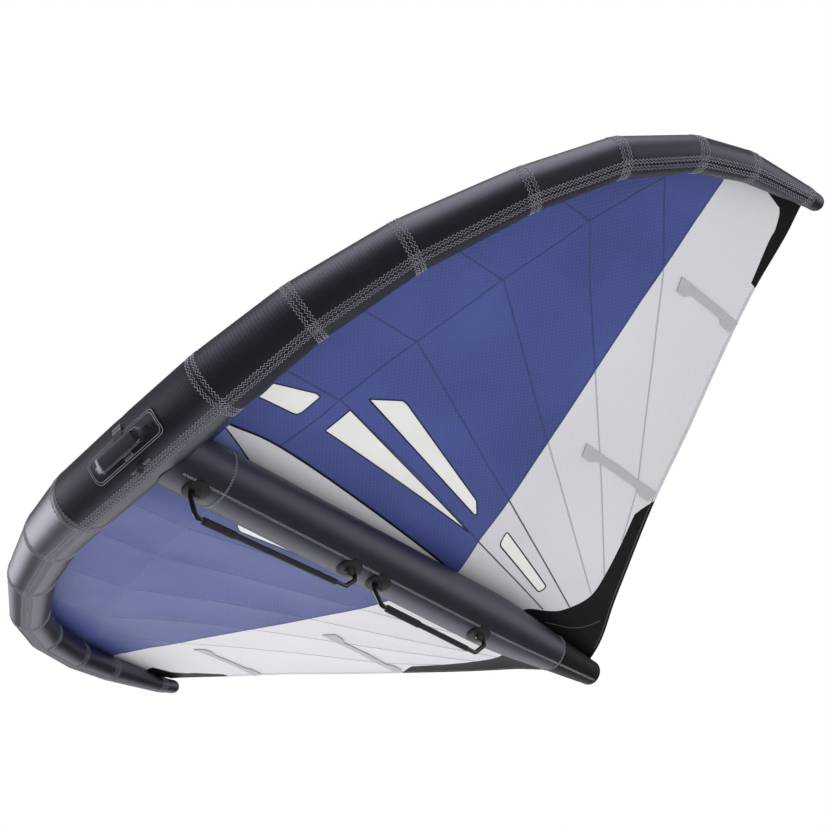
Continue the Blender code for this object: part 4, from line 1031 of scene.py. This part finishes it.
def handles():
    for k, tag in enumerate(("front", "rear")):
        body = tag + "_handle"
        corners = handle_corners(k)
        path = rounded(corners, 0.022, 12)
        bm = swept(path, X_AXIS, [(BAR, BAR)] * len(path), 32)
        for y, way in zip(LEG_Y[k], (1, -1)):
            skin(bm, pin_rings(y, way, ((.005, .004), (.005, PIN_END))), caps=(True, True))
        piece("bar_" + tag, bm, "bar", ["handle_bar_" + tag], body)
        run = corners[3] - corners[2]
        along = run.normalized()
        end, long = run.length - GRIP_SHORT_BY - THICK_FROM[k], THICK_LONG[k]
        profile = [(.0078, 0), (.0085, 0), (.0102, .0005), (.0115, .002), (.0120, .005), (.0120, long - .002),
                   (.0117, long), (.0105, long + .0022), (.0093, long + .004), (.0093, end - .002),
                   (.0089, end - .0004), (.0078, end)]
        u = square_to(X_AXIS, along)
        rows = [circle(corners[2] + along * THICK_FROM[k] + along * w, u, along.cross(u), r, 40)
                for r, w in profile]
        piece("grip_" + tag, sleeve(rows), "grip", ["handle_grip_" + tag], body)
        for y, way, name in zip(LEG_Y[k], (1, -1), ("fore", "aft")):
            pad("%s_%s" % (tag, name), y + way * (BAR + .0005 + EYE / 2))
    rivets()


def pad(name, middle):
    # A round rubber pad that follows the strut, with an eye under it for the bar's pin
    profile = [(.030, .0006), (.0412, .0006), (.042, .0016), (.0418, .0032), (.0405, .0052), (.037, .0066),
               (.030, .0072), (.018, .0078), (.008, .0080)]
    rows = [[strut_place(r * cos(a), middle + r * sin(a), lift) for a in angles_round(64)]
            for r, lift in profile]
    bm = bmesh.new()
    skin(bm, rows, tips=(strut_place(0, middle, .0006), strut_place(0, middle, .0080)))
    shape, bore = [], []
    top = -(STRUT + .003) - SWING_Z
    for a in angles_round(40):
        c, s = cos(a), sin(a)
        reach, flare = EYE_HALF, 1
        if s > 0:
            reach = min(EYE_HALF / max(abs(c), 1e-6), top / s)
            flare = 1 + .55 * (reach * s / top) ** 2
        shape.append((reach * c * flare, reach * s))
        bore.append((BORE * c, BORE * s))
    y0, y1 = middle - EYE / 2, middle + EYE / 2
    rows = [[Vector((x * squeeze, y, SWING_Z + z * squeeze)) for x, z in points] for points, y, squeeze in (
        (bore, y0 + .0005, 1), (shape, y0, .86), (shape, y0 + .0018, 1), (shape, y1 - .0018, 1),
        (shape, y1, .86), (bore, y1 - .0005, 1))]
    skin(bm, rows, close_rows=True)
    piece("pad_" + name, bm, "rubber", ["handle_pad_" + name])


def rivets():
    # Domed end of each hinge pin, beyond its eye
    profile = ((.0046, 0), (.0046, .0012), (.0036, .0022), (.0018, .0028))
    for k, tag in enumerate(("front", "rear")):
        bm = bmesh.new()
        for y, way in zip(LEG_Y[k], (1, -1)):
            foot = y + way * PIN_END
            skin(bm, pin_rings(foot, way, profile), tips=(None, Vector((0, foot + way * .0030, SWING_Z))),
                 caps=(True, False))
        piece("rivets_" + tag, bm, "steel", body=tag + "_handle")


# Soft handle and leash point on the leading edge

PATCH_HALF = 0.150
PATCH_TOP, PATCH_BOTTOM = radians(15) * NOSE, radians(63) * NOSE
GRIP_ANGLE = radians(41)
GRIP_HALF = 0.115
GRIP_LIFT, GRIP_FOOT = 0.032, 0.0074
GRIP_RISE = 0.045
LEASH_ANGLE = radians(78)
THIN_CORD = {"Radius": .0008, "Sides": 6}


def rounded_box(x0, x1, y0, y1, r, steps=6):
    points = []
    for cx, cy, start in ((x1 - r, y0 + r, -pi / 2), (x1 - r, y1 - r, 0), (x0 + r, y1 - r, pi / 2),
                          (x0 + r, y0 + r, pi)):
        points += [(cx + r * cos(start + n * pi / 2 / steps), cy + r * sin(start + n * pi / 2 / steps))
                   for n in range(steps + 1)]
    return points


def nose_cloth(name, outline, mat, replaces, lifts, step):
    cloth(name, outline, mat, [replaces], places=one_by_one(nose_place), lifts=lifts,
          step=step)


def soft_handle():
    outline = rounded_box(-PATCH_HALF, PATCH_HALF, PATCH_TOP, PATCH_BOTTOM, .020)
    nose_cloth("soft_handle_patch", outline, "tube", "le_handle_patch",
               (.0016, .0026), .010)
    border = []
    for inset in (.004, .010):
        box = rounded_box(-PATCH_HALF + inset, PATCH_HALF - inset, PATCH_TOP + inset,
                          PATCH_BOTTOM - inset, .018)
        border.append(guide(split(box, .01), nose_place, .0030, closed=True))
    along_guides("soft_handle_border", border, "cord", THIN_CORD)
    strap = rounded_box(-.019, .019, radians(3) * NOSE, radians(57) * NOSE, .002, 2)
    nose_cloth("soft_handle_strap", strap, "webbing", "le_handle_strap",
               (.0030, .0048), .008)
    rows = [guide([(x, radians(a) * NOSE + d) for x in np.linspace(-.017, .017, 6)], nose_place, .0054)
            for a in (6, 52) for d in (-.006, .006)]
    along_guides("soft_handle_tacks", rows, "zigzag",
                 {"Stitch length": .005, "Swing": .006, "Needle gap": .003})
    grip_pad()


def nose_frame(angle):
    out = Vector((0, -cos(angle), -sin(angle)))
    return out, X_AXIS.cross(out)


def grip_pad():
    # A padded sleeve on webbing that rises from the patch
    out, round_way = nose_frame(GRIP_ANGLE)
    seat = nose_place(GRIP_HALF, GRIP_ANGLE * NOSE, GRIP_FOOT)

    def middle(x):
        rise = float(ease((GRIP_HALF - abs(x)) / GRIP_RISE))
        return Vector((0, seat.y, seat.z)) + Vector((x, 0, 0)) + out * (GRIP_LIFT - GRIP_FOOT) * rise

    path, sizes = [], []
    for k in range(-60, 61):
        x = GRIP_HALF * k / 60
        s = float(ease((.096 - abs(x)) / .012))
        path.append(middle(x))
        sizes.append((.012 + .012 * s, .0022 + .0048 * s))
    bm = swept(path, round_way, sizes, 48, 0.7)
    ob = piece("soft_handle_grip", bm, "tube", ["le_handle_grip"], "soft_handle")
    border = [tuple(middle(x) + round_way * w + out * .0066)
              for x, w in rounded_box(-.086, .086, -.0195, .0195, .008, 4)]
    line = [Vector(p) for p in split(border, .006)]
    along_guides("soft_handle_grip_stitches", [(line + line[:1], [out] * (len(line) + 1))], "cord", THIN_CORD,
                 body="soft_handle")


def leash():
    arc = LEASH_ANGLE * NOSE
    outline = rounded_box(-.042, .042, arc - .008, arc + .008, .003, 3)
    nose_cloth("leash_webbing", outline, "webbing", "leash_patch",
               (.0006, .0021), .006)
    rows = [guide([(way * x, arc) for x in np.linspace(.014, .040, 5)], nose_place, .0025) for way in (-1, 1)]
    along_guides("leash_tacks", rows, "zigzag", {"Stitch length": .005, "Swing": .007, "Needle gap": .003})
    out, round_way = nose_frame(LEASH_ANGLE)
    foot = nose_place(0, arc, .0036)
    corners = ((.9, 1), (1, .9), (1, -.9), (.9, -1), (-.9, -1), (-1, -.9), (-1, .9), (-.9, 1))
    rows = []
    for a in angles_round(48):
        rise = .012 * (1 - cos(a))
        centre = foot + Vector((.010 * sin(a), 0, 0)) + out * rise
        normal = (Vector((.024 * sin(a), 0, 0)) - out * (.020 * cos(a))).normalized()
        wide = .0006 + .0054 * min(1, 3 * rise / .024)
        rows.append([centre + normal * (.0012 * i) + round_way * (wide * j) for i, j in corners])
    piece("leash_cord_loop", sleeve(rows), "webbing", ["leash_loop"], "leash")


# Valve, hose and clamp

HOSE_X, HOSE_Y = -.160, .200
HOSE_BOW = 0.055
HOSE_SUNK = 0.006
HOSE_RADII = (.009, .0065)


def hose_and_valve():
    lift = Vector((0, cos(radians(30)), sin(radians(30))))
    start = Vector((HOSE_X, 0, -AXIS_DROP)) + lift * (-nose_place(-HOSE_X, 0, 0).y)
    side = Vector((-cos(radians(30)), 0, sin(radians(30))))
    stop = Vector((0, HOSE_Y, 0)) + side * STRUT
    a, b = start + lift * HOSE_BOW, stop + side * HOSE_BOW
    path = [start - lift * HOSE_SUNK]
    for k in range(41):
        s = k / 40
        path.append(start * (1 - s) ** 3 + a * (3 * s * (1 - s) ** 2) + b * (3 * s * s * (1 - s))
                    + stop * s ** 3)
    path.append(stop - side * HOSE_SUNK)
    rows = []
    for r, line, way in zip(HOSE_RADII, (path, path[::-1]), (1, -1)):
        for p, along in steps_along(line):
            t = along * way
            u = square_to(Z_AXIS, t)
            rows.append(circle(p, u, t.cross(u), r, 32))
    piece("inflation_hose", sleeve(rows), "hose", ["strut_hose"])
    for nodes, mat in ((("valve_base", "valve_cap", "hose_clamp_frame", "hose_clamp_lever"), "plastic"),
                       (("le_bladder", "strut_bladder"), "hose")):
        for node in nodes:
            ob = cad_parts[node]
            ob.data.materials.clear()
            ob.data.materials.append(MATS[mat])


def trim():
    # Welt where the strut meets the leading edge
    points = [strut_front(2 * pi * k / 96, STRUT + .001) for k in range(97)]
    along_guides("strut_welt", [(points, [Z_AXIS] * 97)], "cord", {"Radius": .0022, "Sides": 10}, "edge")


# Stage

# Strength of the world as light, and as the cloth mirrors it
AMBIENT = 0.43
MIRRORED = 0.08
# Name, direction from the wing towards the light, strength, spread in degrees
LIGHTS = (("upper_light", (.50, -.45, .74), 2.4, 70),
          ("left_light", (-.92, -.30, .24), 1.9, 40),
          ("low_left_light", (-.76, .615, -.217), 0.9, 50),
          ("low_rear_light", (-.40, .50, -.76), 0.4, 50),
          ("right_light", (.78, .615, .155), 0.8, 50))
CAMERA = (2.3255, -2.72026, -2.59472)
CAMERA_RIGHT, CAMERA_AHEAD = Vector((.703, .700, -.127)), Vector((-.440, .568, .695))
FLOOR_HALF, FLOOR_Z = 40, -4.5


def backdrop():
    # Pale studio floor: the camera sees nearly plain white, and it sends back a little light
    mat = bpy.data.materials.new("pale_studio_floor")
    mat.use_nodes = True
    tree = mat.node_tree
    tree.nodes.clear()
    matt = add(tree, "ShaderNodeBsdfDiffuse", {"Color": colour("#e2e2e2")})
    glow = add(tree, "ShaderNodeEmission", {"Color": colour("#ffffff"), "Strength": 1.0})
    seen = add(tree, "ShaderNodeLightPath").outputs["Is Camera Ray"]
    share = add(tree, "ShaderNodeMath", {"operation": "MULTIPLY", 1: 0.85}, {0: seen})
    mixed = add(tree, "ShaderNodeMixShader", links={0: share, 1: matt, 2: glow})
    add(tree, "ShaderNodeOutputMaterial", links={"Surface": mixed})
    return mat


def stage():
    scene = bpy.context.scene
    cam = bpy.data.cameras.new("camera")
    cam.sensor_width, cam.lens, cam.clip_end = 36, 61.02, 200
    scene.camera = placed("camera", cam)
    back = -CAMERA_AHEAD.normalized()
    across = square_to(CAMERA_RIGHT, back)
    turn = Matrix((across, back.cross(across), back)).transposed().to_4x4()
    scene.camera.matrix_world = Matrix.Translation(CAMERA) @ turn

    floor = bpy.data.meshes.new("floor")
    corners = [(FLOOR_HALF * i, FLOOR_HALF * j, FLOOR_Z) for i, j in ((-1, -1), (1, -1), (1, 1), (-1, 1))]
    floor.from_pydata(corners, [], [(0, 1, 2, 3)])
    floor.materials.append(backdrop())
    plate = placed("floor", floor)
    plate.visible_shadow = plate.visible_glossy = False

    scene.world = bpy.data.worlds.new("soft_studio")
    scene.world.use_nodes = True
    tree = scene.world.node_tree
    tree.nodes.clear()
    rays = add(tree, "ShaderNodeLightPath").outputs
    seen = add(tree, "ShaderNodeMath", {"operation": "MAXIMUM"},
               {0: rays["Is Camera Ray"], 1: rays["Is Transmission Ray"]})
    soft, dim, white = [add(tree, "ShaderNodeBackground", {"Color": colour("#ffffff"), "Strength": level})
                        for level in (AMBIENT, MIRRORED, 1.0)]
    lit = add(tree, "ShaderNodeMixShader", links={0: rays["Is Glossy Ray"], 1: soft, 2: dim})
    mixed = add(tree, "ShaderNodeMixShader", links={0: seen, 1: lit, 2: white})
    add(tree, "ShaderNodeOutputWorld", links={"Surface": mixed})

    for name, way, strength, spread in LIGHTS:
        lamp = bpy.data.lights.new(name, "SUN")
        lamp.energy, lamp.angle = strength, radians(spread)
        sun = placed(name, lamp)
        sun.rotation_mode = "QUATERNION"
        sun.rotation_quaternion = Vector(way).to_track_quat("Z", "Y")
    scene.view_settings.view_transform = "Standard"


leading_edge()
strut()
canopy()
seams()
batten_pockets()
stitches()
handles()
soft_handle()
leash()
hose_and_valve()
trim()
stage()
